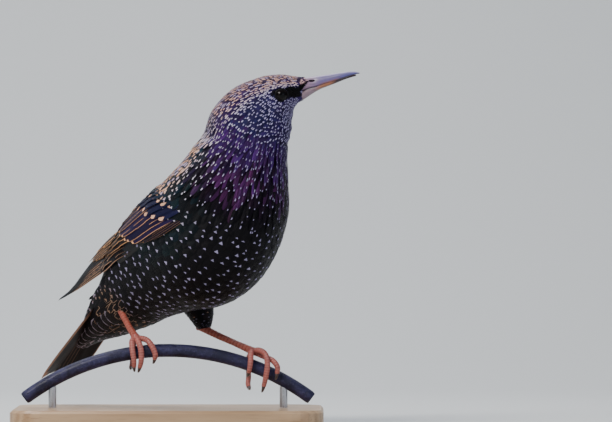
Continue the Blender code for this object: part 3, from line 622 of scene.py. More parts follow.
def region(at, angle):
    """Gloss and tip colours of the plumage at places on the body."""
    up = np.sin(angle)
    gloss = np.broadcast_to(BLACK, (*np.shape(at), 3)).copy()
    gloss = blend(gloss, TEAL, smooth(-0.55, 0.0, up) * smooth(4.6, 6.6, at) * 0.7)
    gloss = blend(gloss, TEAL * 0.9 + INDIGO * 0.35, smooth(0.15, 0.5, up) * smooth(2.5, 5.0, at))
    gloss = blend(gloss, MAGENTA, smooth(7.5, 8.4, at) * smooth(0.5, -0.1, up) * 0.9)
    gloss = blend(gloss, VIOLET, smooth(8.4, 9.5, at) * smooth(0.9, 0.2, up))
    gloss = blend(gloss, VIOLET * 0.45 + BLUE * 0.6, smooth(9.8, 11.0, at))
    cheek = smooth(10.0, 11.4, at) * smooth(13.6, 12.4, at) * smooth(0.45, 0.0, up) * smooth(-0.9, -0.4, up)
    gloss = blend(gloss, BLUE, cheek * 0.6)
    gloss = blend(gloss, BROWN * 0.7 + VIOLET * 0.4, smooth(9.0, 10.6, at) * smooth(0.35, 0.8, up))
    tip = np.broadcast_to(LAVENDER * 0.8, (*np.shape(at), 3)).copy()
    tip = blend(tip, WHITE, smooth(5.2, 7.5, at) * smooth(-0.5, 0.1, up))
    tip = blend(tip, PEACH, smooth(0.2, 0.6, up) * smooth(10.0, 8.6, at))
    tip = blend(tip, PEACH * 0.8 + LAVENDER * 0.15, smooth(0.1, 0.6, up) * smooth(9.5, 11.0, at))
    tip = blend(tip, LAVENDER * 0.95, smooth(10.2, 11.4, at) * smooth(0.4, 0.0, up))
    tip = blend(tip, LAVENDER * 0.85 + BLUE, cheek * 0.5)
    tip = blend(tip, GREY, smooth(5.6, 4.2, at) * smooth(2.4, 3.4, at) * smooth(0.0, -0.4, up) * 0.5)
    tip = blend(tip, DULL_BUFF * 1.5, smooth(4.3, 3.9, at) * smooth(0.4, 0.0, up))
    tip = blend(tip, DULL_BUFF * 0.7 + GREY * 0.45, smooth(3.2, 2.6, at))
    return gloss, tip


# Small body feathers

BODY_LINES, HEAD_LINES, HEAD_FROM = 84, 104, 9.2
# X, Z and aside of the middle of a painted shade where the feathers part in a hollow of the neck
NECK_SHADE_PLACE = (33.0, 121.0, -8.0)

# Along the body, from tail coverts to forehead, in mm: length and width of each pale spot, and the step
# from one feather to the next
SPOT_LENGTH = (1.3, 1.3, 1.6, 2.0, 2.1, 2.1, 2.1, 2.1, 2.2, 2.2, 1.9, 1.65, 1.5, 1.3, 1.0, 0.75)
SPOT_WIDTH = (2.2, 2.2, 2.6, 2.8, 2.9, 2.8, 2.6, 2.1, 1.5, 1.1, 0.8, 0.68, 0.64, 0.62, 0.5, 0.42)
PITCH = np.array((3.4, 3.4, 3.5, 3.8, 4.1, 4.3, 4.3, 4.1, 3.6, 3.0, 2.4, 2.1, 1.9, 1.6, 1.25, 0.9))

# Pieces of the coat: what each is on, its range on the body, outline, points along and across it, and what
# its finish takes: barbs, streaks, notch, taper, gloss and roughness
COAT_PIECES = {
    "coat_head": ("head", 10.6, 16.0, "round", 7, 5, (30.0, 0.5, 0.0, 0.7, 0.45, 0.45)),
    "coat_neck": ("neck", 7.4, 10.6, "hackle", 10, 5, (60.0, 1.9, 0.0, 0.5, 0.55, 0.42)),
    "coat_breast": ("torso", 5.7, 7.4, "round", 10, 7, (44.0, 1.6, 0.3, 0.12, 0.4, 0.48)),
    "coat_belly": ("torso", 3.2, 5.7, "round", 10, 7, (40.0, 1.6, 0.8, 0.12, 0.25, 0.55)),
    "coat_vent": ("torso", -1.0, 3.2, "round", 10, 7, (40.0, 1.2, 0.0, 0.12, 0.2, 0.6)),
}


def feather_roots(random, lines, low, high):
    """Where feathers grow between two places along the body, in lines towards the tail.

    Gives each one's place, angle, pitch, line, and the number of lines.
    """
    found = []
    ats = np.linspace(high, low, 900)
    for line in range(lines):
        angle = 2 * math.pi * (line + 0.5) / lines
        steps = np.linalg.norm(np.diff(body_place(ats, angle), axis=0), axis=1)
        pitch = np.interp(ats, np.arange(len(PITCH)), PITCH)
        back = smooth(0.2, 0.6, math.sin(angle))
        pitch = pitch * (1 - 0.3 * back * smooth(3.0, 5.0, ats) * smooth(10.5, 9.0, ats))
        pitch = pitch * (1 + 0.3 * back * smooth(10.0, 11.0, ats))
        passed = np.concatenate([[0.0], np.cumsum(steps / pitch[:-1])])
        ranks = np.arange((line * 0.618) % 1.0, passed[-1])
        at = np.interp(ranks + random.uniform(-0.12, 0.12, len(ranks)), passed, ats)
        turns = angle + random.uniform(-0.12, 0.12, len(at)) * 2 * math.pi / lines
        spacing = np.interp(at, ats[::-1], pitch[::-1])
        found.append(np.stack(np.broadcast_arrays(at, turns, spacing, line, lines), axis=1))
    return np.concatenate(found).T


def eye_frames():
    """The middle of each eye, and the way it looks."""
    look = math.radians(EYE_TURN)
    return {
        name: (
            np.array((EYE_X, EYE_Y, EYE_Z)) + HEAD_LEFT * EYE_ASIDE * side,
            HEAD_LEFT * side * math.cos(look) + HEAD_AHEAD * math.sin(look),
        )
        for name, side in reversed(SIDES.items())
    }


EYES = eye_frames()

# Half-widths of vanes, as shares, at shares of their length
VANE_OUTLINES = {
    "round": ((0.0, 0.35), (0.25, 0.8), (0.55, 1.0), (0.84, 1.0), (0.95, 0.88), (1.0, 0.64)),
    "blunt": ((0.0, 0.3), (0.15, 0.8), (0.4, 1.0), (0.86, 1.0), (0.96, 0.82), (1.0, 0.45)),
    "hackle": ((0.0, 0.4), (0.25, 0.85), (0.5, 1.0), (0.75, 0.85), (0.92, 0.55), (1.0, 0.2)),
    "tongue": ((0.0, 0.35), (0.3, 0.85), (0.6, 1.0), (0.8, 0.9), (0.92, 0.66), (1.0, 0.2)),
    "quill": ((0.0, 0.3), (0.15, 0.75), (0.4, 1.0), (0.75, 0.95), (0.93, 0.66), (1.0, 0.2)),
}


def outline_at(kind, along):
    """A vane's half-width, as a share, at shares of its length."""
    places, widths = np.array(VANE_OUTLINES[kind]).T
    return np.interp(along, places, widths)


def pace(at, angle):
    """How many mm of the body's surface pass for each step from one section to the next."""
    step = body_place(at + 0.05, angle) - body_place(at - 0.05, angle)
    return np.maximum(np.linalg.norm(step, axis=-1) / 0.1, 2.5)


def bend_radius(at, angle):
    """How many mm of the body's surface pass for each radian round it."""
    step = body_place(at, angle + 0.05) - body_place(at, angle - 0.05)
    return np.linalg.norm(step, axis=-1) / 0.1


def skin_patches(at, angle):
    """The places on the unwrapped skin of places on the body."""
    return np.stack([(angle / (2 * math.pi)) % 1.0 * 0.96 + 0.02, at / LAST_SECTION * 0.96 + 0.02], axis=1)


def grown(at, angle, length, along):
    """Where shares of a length laid on the body towards its tail, from these places, reach."""
    places = [at]
    for step in np.diff(along):
        middle = places[-1] - 0.5 * step * length / pace(places[-1], angle)
        places.append(places[-1] - step * length / pace(middle, angle))
    return np.stack(places, axis=1)


def body_vanes(at, angle, length, width, root, tip, kind, rows, cols, sway, camber):
    """Points and outward directions of vanes that lie along the body towards its tail."""
    along = 1 - np.linspace(1.0, 0.0, rows) ** 1.5
    across = np.linspace(-1.0, 1.0, cols)
    reached = grown(at, angle, length, along)
    radius = bend_radius(reached[:, rows // 2], angle)
    half = 0.5 * width[:, None] * outline_at(kind, along)
    turn = angle[:, None] + sway[:, None] * (length / radius)[:, None] * along
    angles = turn[..., None] + (half / radius[:, None])[..., None] * across
    places = np.broadcast_to(reached[..., None], angles.shape)
    over = root[:, None] + (tip - root)[:, None] * (1 - (1 - along) ** 2)
    over = over[..., None] - camber * across**2 * half[..., None]
    points = body_place(places, angles, over)
    forward = body_place(places + 0.02, angles, over) - body_place(places - 0.02, angles, over)
    round_it = body_place(places, angles + 0.02, over) - body_place(places, angles - 0.02, over)
    outs = unit(np.cross(forward, round_it))
    facing = ((points - section(places)[0]) * outs).sum(-1, keepdims=True)
    return points, outs * np.sign(facing)


def under_wing(points):
    """True where a place on the body is well under a folded wing."""
    s, t = np.meshgrid(np.linspace(0.2, 0.98, 40), np.linspace(0.0, 1.0, 16), indexing="ij")
    hidden = np.zeros(len(points), bool)
    for side in SIDES.values():
        cover = wing_place(side, s.ravel(), t.ravel())[0]
        gaps = np.linalg.norm(points[:, None] - cover[None], axis=-1)
        nearest = gaps.argmin(axis=1)
        s_near, t_near = s.ravel()[nearest], t.ravel()[nearest]
        inner = (t_near > 0.1) & (s_near > 0.27) & (s_near < 0.97)
        hidden |= inner & (gaps.min(axis=1) < 9.0)
    return hidden


def clear_of_eyes(at, angle, root, tip, length):
    """Vanes cut short where they would cover an eye: they start at its rim, or end there.

    Gives their new places, root heights and lengths, and which of them are still long enough to stay.
    """
    shares = np.linspace(0.0, 1.0, 13)
    reached = grown(at, angle, length, shares)
    places = body_place(reached, angle[:, None])
    within = np.zeros(reached.shape, bool)
    for middle, axis in EYES.values():
        away = places - middle
        deep = away @ axis
        within |= (np.linalg.norm(away - axis * deep[..., None], axis=-1) < EYE_RADIUS) & (deep > -2.0)
    starts = within[:, 0]
    first_out = within.argmin(axis=1)
    leaving = np.where(starts, shares[first_out], 0.0)
    meets = ~starts & within.any(axis=1)
    entering = np.where(meets, shares[within.argmax(axis=1)] - shares[1], 1.0)
    free = ~within.all(axis=1) & (entering - leaving > 0.2)
    at = np.where(starts, reached[np.arange(len(at)), first_out], at)
    root = root + (tip - root) * (1 - (1 - leaving) ** 2)
    return at, root, length * np.maximum(entering - leaving, 0.1), free


def dark_places(places):
    """How far places lie in the black patches round the eye and before it, and in a painted shade where the
    feathers part in a hollow of the neck on each side.
    """
    dark = np.zeros(len(places))
    for middle, _ in EYES.values():
        for shift, low, high in (((0.1, 0.0, 0.3), 4.4, 3.5), ((5.4, 0.0, 1.3), 4.4, 3.0)):
            away = (places - middle - shift) * (0.8, 0.5, 1.35)
            dark = np.maximum(dark, smooth(low, high, np.linalg.norm(away, axis=1)))
    # Painted shade: darkness in the hollow where the neck's feathers part, on each side
    for side in SIDES.values():
        away = (places - seen(*NECK_SHADE_PLACE, side)) * (0.6, 0.3, 1.1)
        dark = np.maximum(dark, smooth(3.6, 1.6, np.linalg.norm(away, axis=1)))
    return dark


def coat_colours(random, at, angle, dark):
    """Gloss and tip colours of the small feathers, each a little unlike its neighbours."""
    count = len(at)
    strayed = at + random.normal(0.0, 0.3, count) * smooth(13.0, 11.0, at) * smooth(7.2, 8.0, at)
    gloss, pale = region(strayed, angle)
    gloss = gloss * random.uniform(0.6, 1.4, (count, 1)) * random.uniform(0.85, 1.15, (count, 3))
    gloss = blend(gloss, BLACK, smooth(8.0, 7.0, at) * random.uniform(0.0, 0.8, count))
    edge = smooth(6.4, 7.6, at) * smooth(11.4, 8.2, at)
    gaps = random.random(count) < 0.6 - 0.25 * smooth(7.6, 9.4, at)
    # Near black in the black patches round the eyes, and as painted shade in the neck's hollow
    gloss = blend(blend(gloss, BLACK, edge * gaps * 0.9), BLACK * 0.5, dark)
    pale = pale * random.uniform(0.75, 1.12, (count, 1))
    cold = random.random(count) < 0.35
    return gloss, blend(pale, LAVENDER * 0.9, cold * smooth(0.2, 0.6, np.sin(angle)) * 0.8)


def coat_spots(random, at, angle):
    """Length and width in mm of the small feathers' pale spots."""
    up, sections = np.sin(angle), np.arange(len(BODY))
    mantle = smooth(0.2, 0.5, up) * smooth(3.5, 5.0, at) * smooth(10.2, 9.2, at)
    nape = smooth(0.0, 0.5, up) * smooth(10.0, 11.0, at)
    crown = smooth(0.2, 0.6, up) * smooth(11.0, 12.0, at)
    tall = np.interp(at, sections, SPOT_LENGTH) * random.uniform(0.7, 1.25, len(at))
    wide = np.interp(at, sections, SPOT_WIDTH) * random.uniform(0.75, 1.25, len(at))
    return tall * (1 + 0.5 * mantle) * (1 + 0.7 * nape), wide * (1 + 0.2 * mantle) * (1 - 0.15 * crown)


def coat(random):
    """The small feathers of the head, neck and body, in pieces by region."""
    grid = np.hstack([
        feather_roots(random, BODY_LINES, 0.25, HEAD_FROM),
        feather_roots(random, HEAD_LINES, HEAD_FROM, 14.97),
    ])
    at, angle, pitch, line, lines = grid[:, ~under_wing(body_place(grid[0], grid[1]))]
    count, up = len(at), np.sin(angle)
    space = 2 * math.pi * bend_radius(at, angle) / lines
    hackle = smooth(6.9, 7.9, at) * smooth(11.6, 10.4, at) * smooth(0.5, 0.1, up)
    length = pitch * (2.5 + 0.9 * hackle) * random.uniform(0.92, 1.1, count)
    width = space * (2.0 - 0.6 * hackle - 0.4 * smooth(10.4, 11.4, at)) * random.uniform(0.92, 1.08, count)
    vent = smooth(3.9, 3.1, at) * smooth(0.3, -0.1, up)
    length *= 1 + 0.9 * vent
    root = -COAT_DEPTH * smooth(15.0, 13.6, at) - 0.25 + random.uniform(-0.05, 0.05, count)
    spotted = (at >= 8.2) | (line % 2 == 0) | (up > 0.3) | (random.random(count) < 0.06)
    spotted &= random.random(count) > 0.05
    tip = 0.04 + random.uniform(-0.06, 0.08, count) + 0.2 * spotted - 0.25 * smooth(13.0, 14.6, at)
    at, root, length, free = clear_of_eyes(at, angle, root, tip, length)
    sway = random.normal(0.0, 0.07, count)
    shown_at = grown(at, angle, length, np.array((0.0, 0.4, 0.85)))[:, -1]
    # How far each feather lies in the black eye patches or in the painted shade of the neck's hollow; there
    # it is near black and unspotted
    dark = dark_places(body_place(shown_at, angle))
    gloss, pale = coat_colours(random, at, angle, dark)
    tall, wide = coat_spots(random, at, angle)
    plain = np.maximum(np.maximum(smooth(0.3, 0.8, dark), ~spotted), vent * smooth(3.4, 3.0, at))
    tall = tall / length * (1 - plain)
    wide = np.minimum(wide / width, 0.95) * (1 - plain)
    loops = smooth(2.8, 3.1, at) * smooth(4.2, 3.8, at) * smooth(-0.95, -0.8, up) * smooth(-0.15, -0.35, up)
    patches = skin_patches(at, angle)
    for name, (slot, low, high, kind, rows, cols, looks) in COAT_PIECES.items():
        own = (at > low) & (at <= high) & free
        points, outs = body_vanes(
            at[own], angle[own], length[own], width[own], root[own], tip[own],
            kind, rows, cols, sway[own], 0.1,
        )
        finish = plumage(name + " plumage", *looks)
        thick = np.minimum(0.03 * width[own], 0.14)
        values = vane_values(gloss[own], pale[own], tall[own], wide[own], 0.2 * loops[own])
        vane_mesh(name, points, outs, thick, values, patches[own], finish)


def undertail_coverts(random):
    """Broad pale-edged feathers under the tail, in a column on each side and one along the middle."""
    at, angle = [], []
    for turn, first in ((0.95, 0.55), (0.0, 0.66), (-0.95, 0.55)):
        places = np.arange(first, 3.2, 0.29)
        at.append(places)
        angle.append(1.5 * math.pi + turn + random.normal(0.0, 0.05, len(places)))
    at, angle = np.concatenate(at), np.concatenate(angle)
    count = len(at)
    length = np.minimum(9.5, (at + 0.4) * 8.0) * random.uniform(0.95, 1.05, count)
    width = np.interp(at, (0.5, 2.0, 3.2), (4.6, 9.0, 10.5))
    root, tip = np.full(count, -0.8), 0.45 + random.uniform(-0.05, 0.05, count)
    sway = random.normal(0.0, 0.05, count)
    points, outs = body_vanes(at, angle, length, width, root, tip, "tongue", 12, 9, sway, 0.05)
    gloss = (BLACK + BROWN * 0.3) * random.uniform(0.8, 1.2, (count, 1))
    pale = (DULL_BUFF * 0.35 + GREY * 0.8) * random.uniform(0.8, 1.15, (count, 1))
    finish = plumage("undertail plumage", 50.0, 1.0, taper=1.0, gloss=0.2, rough=0.5)
    values = vane_values(gloss, pale, 1.3 / length, 1.3, 1.9 / width)
    vane_mesh("coat_undertail", points, outs, 0.12, values, skin_patches(at, angle), finish)


def tube_place(rows, at, angle, over):
    """Places over a tapering limb: along its rows, round it, and over its surface."""
    row = spline(rows, at)
    near = np.clip(at, 0.02, None)
    ahead = unit(spline(rows, near + 0.02)[..., :3] - spline(rows, near - 0.02)[..., :3])
    across = unit(np.cross(ahead, (0.0, 0.0, 1.0)))
    other = np.cross(ahead, across)
    out = across * np.cos(angle)[..., None] + other * np.sin(angle)[..., None]
    return row[..., :3] + out * (row[..., 3] + over)[..., None], out


def thigh_feathers(random):
    """Small feathers round both thighs, down to the bare legs."""
    rows, cols, ring = 9, 5, 16
    along, across = 1 - np.linspace(1.0, 0.0, rows) ** 1.4, np.linspace(-1.0, 1.0, cols)
    thighs = (
        ("left", THIGH_LEFT, 0.25, 0.15, "thigh_left"),
        ("right", THIGH_RIGHT, 1.0, 0.55, "torso"),
    )
    for name, limb, first, buff_share, slot in thighs:
        last = len(limb) - 1.0
        at, angle = [], []
        for rank, place in enumerate(np.arange(first, last - 0.16, 0.24)):
            at.append(place + random.uniform(-0.05, 0.05, ring))
            turns = 2 * math.pi * (np.arange(ring) + 0.5 * (rank % 2)) / ring
            angle.append(turns + random.uniform(-0.08, 0.08, ring))
        at, angle = np.concatenate(at), np.concatenate(angle)
        count = len(at)
        radius = spline(limb, at)[:, 3:]
        reached = np.minimum(at[:, None] + 0.75 * along, last + 0.03)
        half = 0.5 * radius * 0.75 * outline_at("round", along)
        turn = angle[:, None, None] + (half / radius)[..., None] * across
        over = -0.5 + 0.7 * along[None, :, None] - 0.1 * across**2 + random.uniform(-0.1, 0.1, (count, 1, 1))
        places, over = np.broadcast_to(reached[..., None], turn.shape), np.broadcast_to(over, turn.shape)
        tops, outs = tube_place(limb, places, turn, over)
        buff = (random.random((count, 1)) < buff_share) * 1.0
        gloss = BLACK * random.uniform(0.7, 1.6, (count, 1)) + BROWN * 0.4 * buff
        tips = np.where(buff > 0, DULL_BUFF * 1.4, GREY)
        spotted = random.random(count) < 0.5
        patches = np.stack([angle / (2 * math.pi) * 0.2 + 0.4, at / last * 0.1 + 0.3], axis=1)
        finish = plumage(f"thigh {name} plumage", 24.0, 1.2, 0.5)
        values = vane_values(gloss, tips, 0.16 * spotted, 0.4 * spotted)
        vane_mesh("coat_thigh_" + name, tops, outs, 0.06, values, patches, finish)


# The folded wings: families of feathers from the lowest to the upper ones. How many, the first and the last
# one's root and tip as shares along and across the wing, widths in mm, height, gloss, tip colour, marks: tip
# spot's length in mm and width as a share, fringe in mm.
WING_FAMILIES = {
    "primaries": (8, (0.36, 0.10), (0.40, 0.52), (1.00, 0.50), (0.76, 0.82), (8.6, 8.0), 0.0,
                  BLACK * 1.3, BUFF * 1.2 + WHITE * 0.14, (0.0, 0.0, 0.36)),
    "secondaries": (8, (0.34, 0.26), (0.32, 0.84), (0.62, 0.38), (0.73, 0.94), (7.2, 6.6), 0.45,
                    BLACK * 1.2 + BROWN * 0.35, BUFF * 1.35, (0.0, 0.0, 0.42)),
    "tertials": (3, (0.34, 0.74), (0.30, 0.96), (0.59, 0.78), (0.67, 0.97), (7.6, 7.0), 0.9,
                 BROWN * 1.2, BUFF * 1.3, (0.0, 0.0, 0.6)),
    "alula": (4, (0.10, 0.00), (0.16, 0.12), (0.40, 0.02), (0.47, 0.12), (5.6, 5.6), 0.75,
              INDIGO * 0.3 + BLACK, BUFF * 0.4, (0.0, 0.0, 0.2)),
    "greater_coverts": (13, (0.20, 0.08), (0.18, 0.94), (0.47, 0.18), (0.56, 0.98), (4.9, 4.4), 1.1,
                        INDIGO * 0.55 + VIOLET * 0.12, BUFF * 1.0 + PEACH * 0.3, (1.3, 1.3, 0.27)),
    "median_coverts": (9, (0.06, 0.10), (0.16, 0.93), (0.29, 0.18), (0.42, 0.97), (4.9, 4.6), 1.5,
                       INDIGO * 0.6 + BLUE * 0.25, PEACH * 0.9, (2.5, 1.05, 0.0)),
    "lesser_coverts": (9, (-0.02, 0.18), (0.08, 0.98), (0.20, 0.26), (0.33, 0.98), (4.8, 4.4), 1.8,
                       TEAL * 0.5 + INDIGO * 0.4, PEACH * 0.9, (2.4, 0.95, 0.0)),
    "upper_lesser_coverts": (8, (-0.05, 0.30), (0.00, 0.98), (0.11, 0.34), (0.23, 0.98), (4.6, 4.2), 2.0,
                             TEAL * 0.7 + INDIGO * 0.3, PEACH * 0.9 + LAVENDER * 0.05, (1.9, 0.8, 0.0)),
}
EDGE_TILT = 0.22
ONE_EDGED = ("primaries", "secondaries", "greater_coverts")


def wing_feathers(side, name, random):
    """The flight feathers and coverts of one folded wing, one mesh for each family."""
    rows, cols = 22, 9
    along, across = np.linspace(0.0, 1.0, rows), np.linspace(-1.0, 1.0, cols)
    for family, look in WING_FAMILIES.items():
        count, root, root_end, tip, tip_end, widths, height, gloss, pale, marks = look
        spot_long, spot_wide, fringe = marks
        share = np.linspace(0.0, 1.0, count)[:, None]
        near = np.array(root) + (np.array(root_end) - root) * share
        near = near + random.uniform(-0.006, 0.006, (count, 2))
        far = np.array(tip) + (np.array(tip_end) - tip) * share
        far = far + random.uniform(-1.0, 1.0, (count, 2)) * (0.010, 0.006)
        width = widths[0] + (widths[1] - widths[0]) * share[:, 0]
        places = near[:, None] + (far - near)[:, None] * along[:, None]
        s, t = places[..., 0], places[..., 1]
        low, out = wing_place(side, s, t - 0.05)
        sideways = unit(wing_place(side, s, t + 0.05)[0] - low)
        middle = wing_place(side, s, t)[0]
        half = 0.5 * width[:, None] * outline_at("blunt" if "coverts" in family else "quill", along)
        lift = height + random.uniform(-0.05, 0.05, (count, 1))
        lift = lift * (1.0 - 0.35 * along) - 1.6 * (1 - along) ** 4
        rise = lift[..., None] - across * EDGE_TILT - 0.16 * across**2
        points = middle[:, :, None] + sideways[:, :, None] * (half[..., None] * across)[..., None]
        points = points + out[:, :, None] * rise[..., None]
        outs = np.broadcast_to(out[:, :, None], points.shape)
        length = np.linalg.norm(np.diff(middle, axis=1), axis=2).sum(axis=1)
        leans = -1.0 if family in ONE_EDGED else 0.0
        spot_long = spot_long * random.uniform(0.8, 1.2, count) / length
        gloss = gloss * random.uniform(0.7, 1.3, (count, 1))
        pale = pale * random.uniform(0.8, 1.15, (count, 1))
        values = vane_values(gloss, pale, spot_long, spot_wide, (2 + leans) * fringe / width)
        worn = 0.78 if family == "primaries" else 1.1
        finish = plumage(f"{family} {name} plumage", 46.0, 0.9, rough=0.45, gloss=0.3, worn=worn)
        patches = near * 0.9 + 0.05
        vane_mesh(f"{family}_{name}", points, outs, 0.22, values, patches, finish, leans)


def tail_feathers(random):
    """Twelve tail feathers, the middle pair uppermost."""
    rows, cols = 24, 9
    place = np.linspace(-1.0, 1.0, TAIL_FEATHERS)
    depth = np.abs(place) * (TAIL_FEATHERS / 2 - 0.5) * TAIL_STEP + np.where(place > 0, 0.12, 0.0)
    length = TAIL_LENGTH - 1.6 * (1 - np.abs(place)) - TAIL_SLANT * np.maximum(place, 0.0)
    length = length + random.uniform(-0.5, 0.0, TAIL_FEATHERS)
    share, across = np.linspace(0.0, 1.0, rows), np.linspace(-1.0, 1.0, cols)
    along = TAIL_ROOT + (length - TAIL_ROOT)[:, None] * share
    middle = place[:, None] * (TAIL_ROOT_HALF + (TAIL_TIP_HALF - TAIL_ROOT_HALF) * share)
    half = TAIL_FEATHER_WIDTH * outline_at("quill", share) / 2
    aside = middle[..., None] + (half[:, None] * across)[None]
    tilt = np.sign(place)[:, None, None] * -0.15 * across
    over = -depth[:, None, None] + tilt - 0.08 * across**2
    points = tail_place(
        np.broadcast_to(along[..., None], aside.shape), aside, np.broadcast_to(over, aside.shape),
    )
    normal = unit(tail_place(30.0, 0.0, 1.0) - tail_place(30.0, 0.0, 0.0))
    outs = np.broadcast_to(normal, points.shape)
    outer = np.abs(place) > 0.95
    gloss = (BLACK + BROWN * 0.45) * random.uniform(0.8, 1.2, (TAIL_FEATHERS, 1))
    tips = np.where(outer[:, None], BUFF * 0.2 + DULL_BUFF * 1.2 + GREY * 0.15, DULL_BUFF * 0.7)
    fringe = np.where(outer, np.where(place < 0, 0.34, 0.08), 0.07)
    patches = np.stack([place * 0.45 + 0.5, np.full(TAIL_FEATHERS, 0.5)], axis=1)
    finish = plumage("tail plumage", 60.0, 0.9, rough=0.5, gloss=0.3)
    values = vane_values(gloss, tips, fringe=fringe)
    leans = np.where(outer, np.sign(place), 0.0)
    made = vane_mesh("tail_feathers", points, outs, 0.22, values, patches, finish, leans)
    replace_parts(made, "tail")


# Skin

def skin_material():
    """Dark skin in the plumage's colours with pale specks, for where the feathers part."""
    made, n, shader = new_material("skin", 0.6, 0.2)
    place = n.place()
    cells = n.add("ShaderNodeTexVoronoi", {"Vector": place, "Scale": 330.0})
    spot = n.step(cells.outputs["Distance"], 0.12, 0.28, 1.0, 0.0)
    n.put(shader["Base Color"], n.mix(n.times(spot, 0.6), n.attribute("gloss"), n.attribute("tip")))
    n.bump(shader, n.noise(place, 1400.0), 0.0002, 0.6)
    return made


def joined(name, parts):
    """These mesh objects joined into one of this name."""
    bpy.ops.object.select_all(action="DESELECT")
    for part in parts:
        part.select_set(True)
    bpy.context.view_layer.objects.active = parts[0]
    bpy.ops.object.join()
    made = bpy.context.view_layer.objects.active
    made.name = name
    made.data.name = name
    made.select_set(False)
    return made


def applied(made, kind, **settings):
    """A modifier added to the object and applied."""
    modifier = made.modifiers.new(kind.lower(), kind)
    for key, value in settings.items():
        setattr(modifier, key, value)
    bpy.ops.object.select_all(action="DESELECT")
    bpy.context.view_layer.objects.active = made
    made.select_set(True)
    bpy.ops.object.modifier_apply(modifier=modifier.name)
    made.select_set(False)


def build_skin():
    """One skin under the whole coat: body, thigh and the flesh of the wings, without a seam."""
    finish = skin_material()
    ats = np.linspace(0.3, 14.98, 150)
    angles = 2 * math.pi * np.arange(72) / 72
    rings = body_place(ats[:, None], angles[None], -COAT_DEPTH * smooth(15.4, 13.2, ats)[:, None])
    parts = [ring_mesh("skin_body", [rings], finish)]
    for name, side in SIDES.items():
        s = np.linspace(0.04, 0.6, 24)[:, None]
        t = np.linspace(0.06, 0.94, 14)[None]
        outer, out = wing_place(side, s, t, -0.3)
        edge = np.minimum(np.minimum(t, 1 - t) * 8, 1.0)[..., None] * np.ones_like(outer)
        inner = outer - out * (0.5 + 3.5 * edge)
        loops = np.concatenate([outer, inner[:, ::-1]], axis=1)
        parts.append(ring_mesh("skin_wing_" + name, [loops], finish))
    thigh = drawn(THIGH_LEFT, 12)
    thigh[:, 3] -= 0.8
    parts.append(tubes("skin_thigh", [thigh], finish, 20))
    made = joined("skin", parts)
    mesh = made.data
    mesh.materials.clear()
    mesh.materials.append(finish)
    applied(made, "REMESH", mode="VOXEL", voxel_size=0.65 * MM, use_smooth_shade=True)
    applied(made, "SMOOTH", factor=0.5, iterations=4)
    mesh = made.data
    points = np.empty(len(mesh.vertices) * 3, np.float32)
    mesh.vertices.foreach_get("co", points)
    at, angle = on_body(points.reshape(-1, 3) / MM)
    gloss, tip = region(at, angle)
    painted(mesh, "gloss", gloss * 0.7)
    painted(mesh, "tip", tip)
    unwrap_skin(mesh, at, angle)
    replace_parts(made, "torso", "neck", "head", "thigh_left", "wing_left", "wing_right")


def unwrap_skin(mesh, at, angle):
    """Lay the skin out flat by its place along and round the body, with each face whole."""
    order = corner_points(mesh)
    turn = (angle / (2 * math.pi)) % 1.0
    starts = np.empty(len(mesh.polygons), np.int32)
    mesh.polygons.foreach_get("loop_start", starts)
    first = np.repeat(turn[order[starts]], np.diff(np.append(starts, len(order))))
    wrapped = turn[order]
    wrapped = wrapped - np.sign(wrapped - first) * (np.abs(wrapped - first) > 0.5)
    places = np.stack([wrapped * 0.9 + 0.05, at[order] / LAST_SECTION * 0.96 + 0.02], axis=1)
    unwrapped(mesh, "OFBake", places)


# Bill, eyes, legs

def bill_material(name, dark):
    """Horn in the colours painted along the bill, with fine grain along it."""
    made, n, shader = new_material(name, 0.34, Coat_Weight=0.12, Coat_Roughness=0.25, Specular_IOR_Level=0.35)
    grain = n.noise(n.scaled(n.place(), (0.25, 1.0, 1.0)), 1600.0, 4.0)
    n.put(shader["Base Color"], n.dabbed(n.attribute("paint"), dark, grain, 0.35, 0.75, 0.4))
    n.put(shader["Roughness"], n.step(grain, 0.3, 0.8, 0.28, 0.48))
    n.bump(shader, grain, 0.00008, 0.5)
    return made


def upper_bill_colours(x, z):
    """Pinkish grey at the root, violet to blue at the tip, orange brown along the edge's middle, and painted
    shade along the cutting edge towards the tip.
    """
    _, low, high, _ = bill_row(x)
    over, under = z - low, high - z
    full = blend(np.array((0.27, 0.17, 0.25)), np.array((0.145, 0.115, 0.27)), smooth(62.0, 70.0, x))
    full = blend(full, np.array((0.085, 0.085, 0.26)), smooth(72.0, 82.0, x))
    full = blend(full, np.array((0.34, 0.30, 0.46)), smooth(0.7, 0.0, under) * 0.75)
    orange = smooth(1.3, 0.2, over) * smooth(66.5, 70.5, x) * smooth(78.0, 74.5, x)
    full = blend(full, np.array((0.30, 0.10, 0.045)), orange)
    # Painted shade: near black along the cutting edge towards the tip
    return blend(full, np.array((0.02, 0.013, 0.03)), smooth(0.5, 0.05, over) * smooth(73.0, 77.0, x) * 0.9)


def lower_bill_colours(x, z):
    """Pinkish at the root and orange brown in the middle, with painted shade: near black towards the tip and
    darker along the underside.
    """
    full = blend(np.array((0.25, 0.17, 0.21)), np.array((0.34, 0.13, 0.06)), smooth(65.0, 69.5, x))
    # Painted shade: near black towards the tip
    full = blend(full, np.array((0.022, 0.014, 0.02)), smooth(72.5, 76.0, x))
    under = z - np.interp(x, LOWER_BILL[:, 0], LOWER_BILL[:, 1])
    # Painted shade: darker along the underside
    return blend(full, np.array((0.05, 0.03, 0.045)), smooth(0.5, 0.0, under) * smooth(60.0, 68.0, x))


def bill_row(x):
    """The upper bill's table at places along it: X, lower edge, upper edge and half-width."""
    return [np.interp(x, UPPER_BILL[:, 0], UPPER_BILL[:, k]) for k in range(4)]


def bill_place(x, aside, z):
    """World places in the bill's upright plane, this far to the bird's left."""
    ahead = BILL_ROOT_Y + (x - BILL_ROOT_X) * math.tan(HEAD_TURN) + aside * HEAD_LEFT[1]
    return np.stack(np.broadcast_arrays(x + aside * HEAD_LEFT[0], ahead, z), axis=-1)


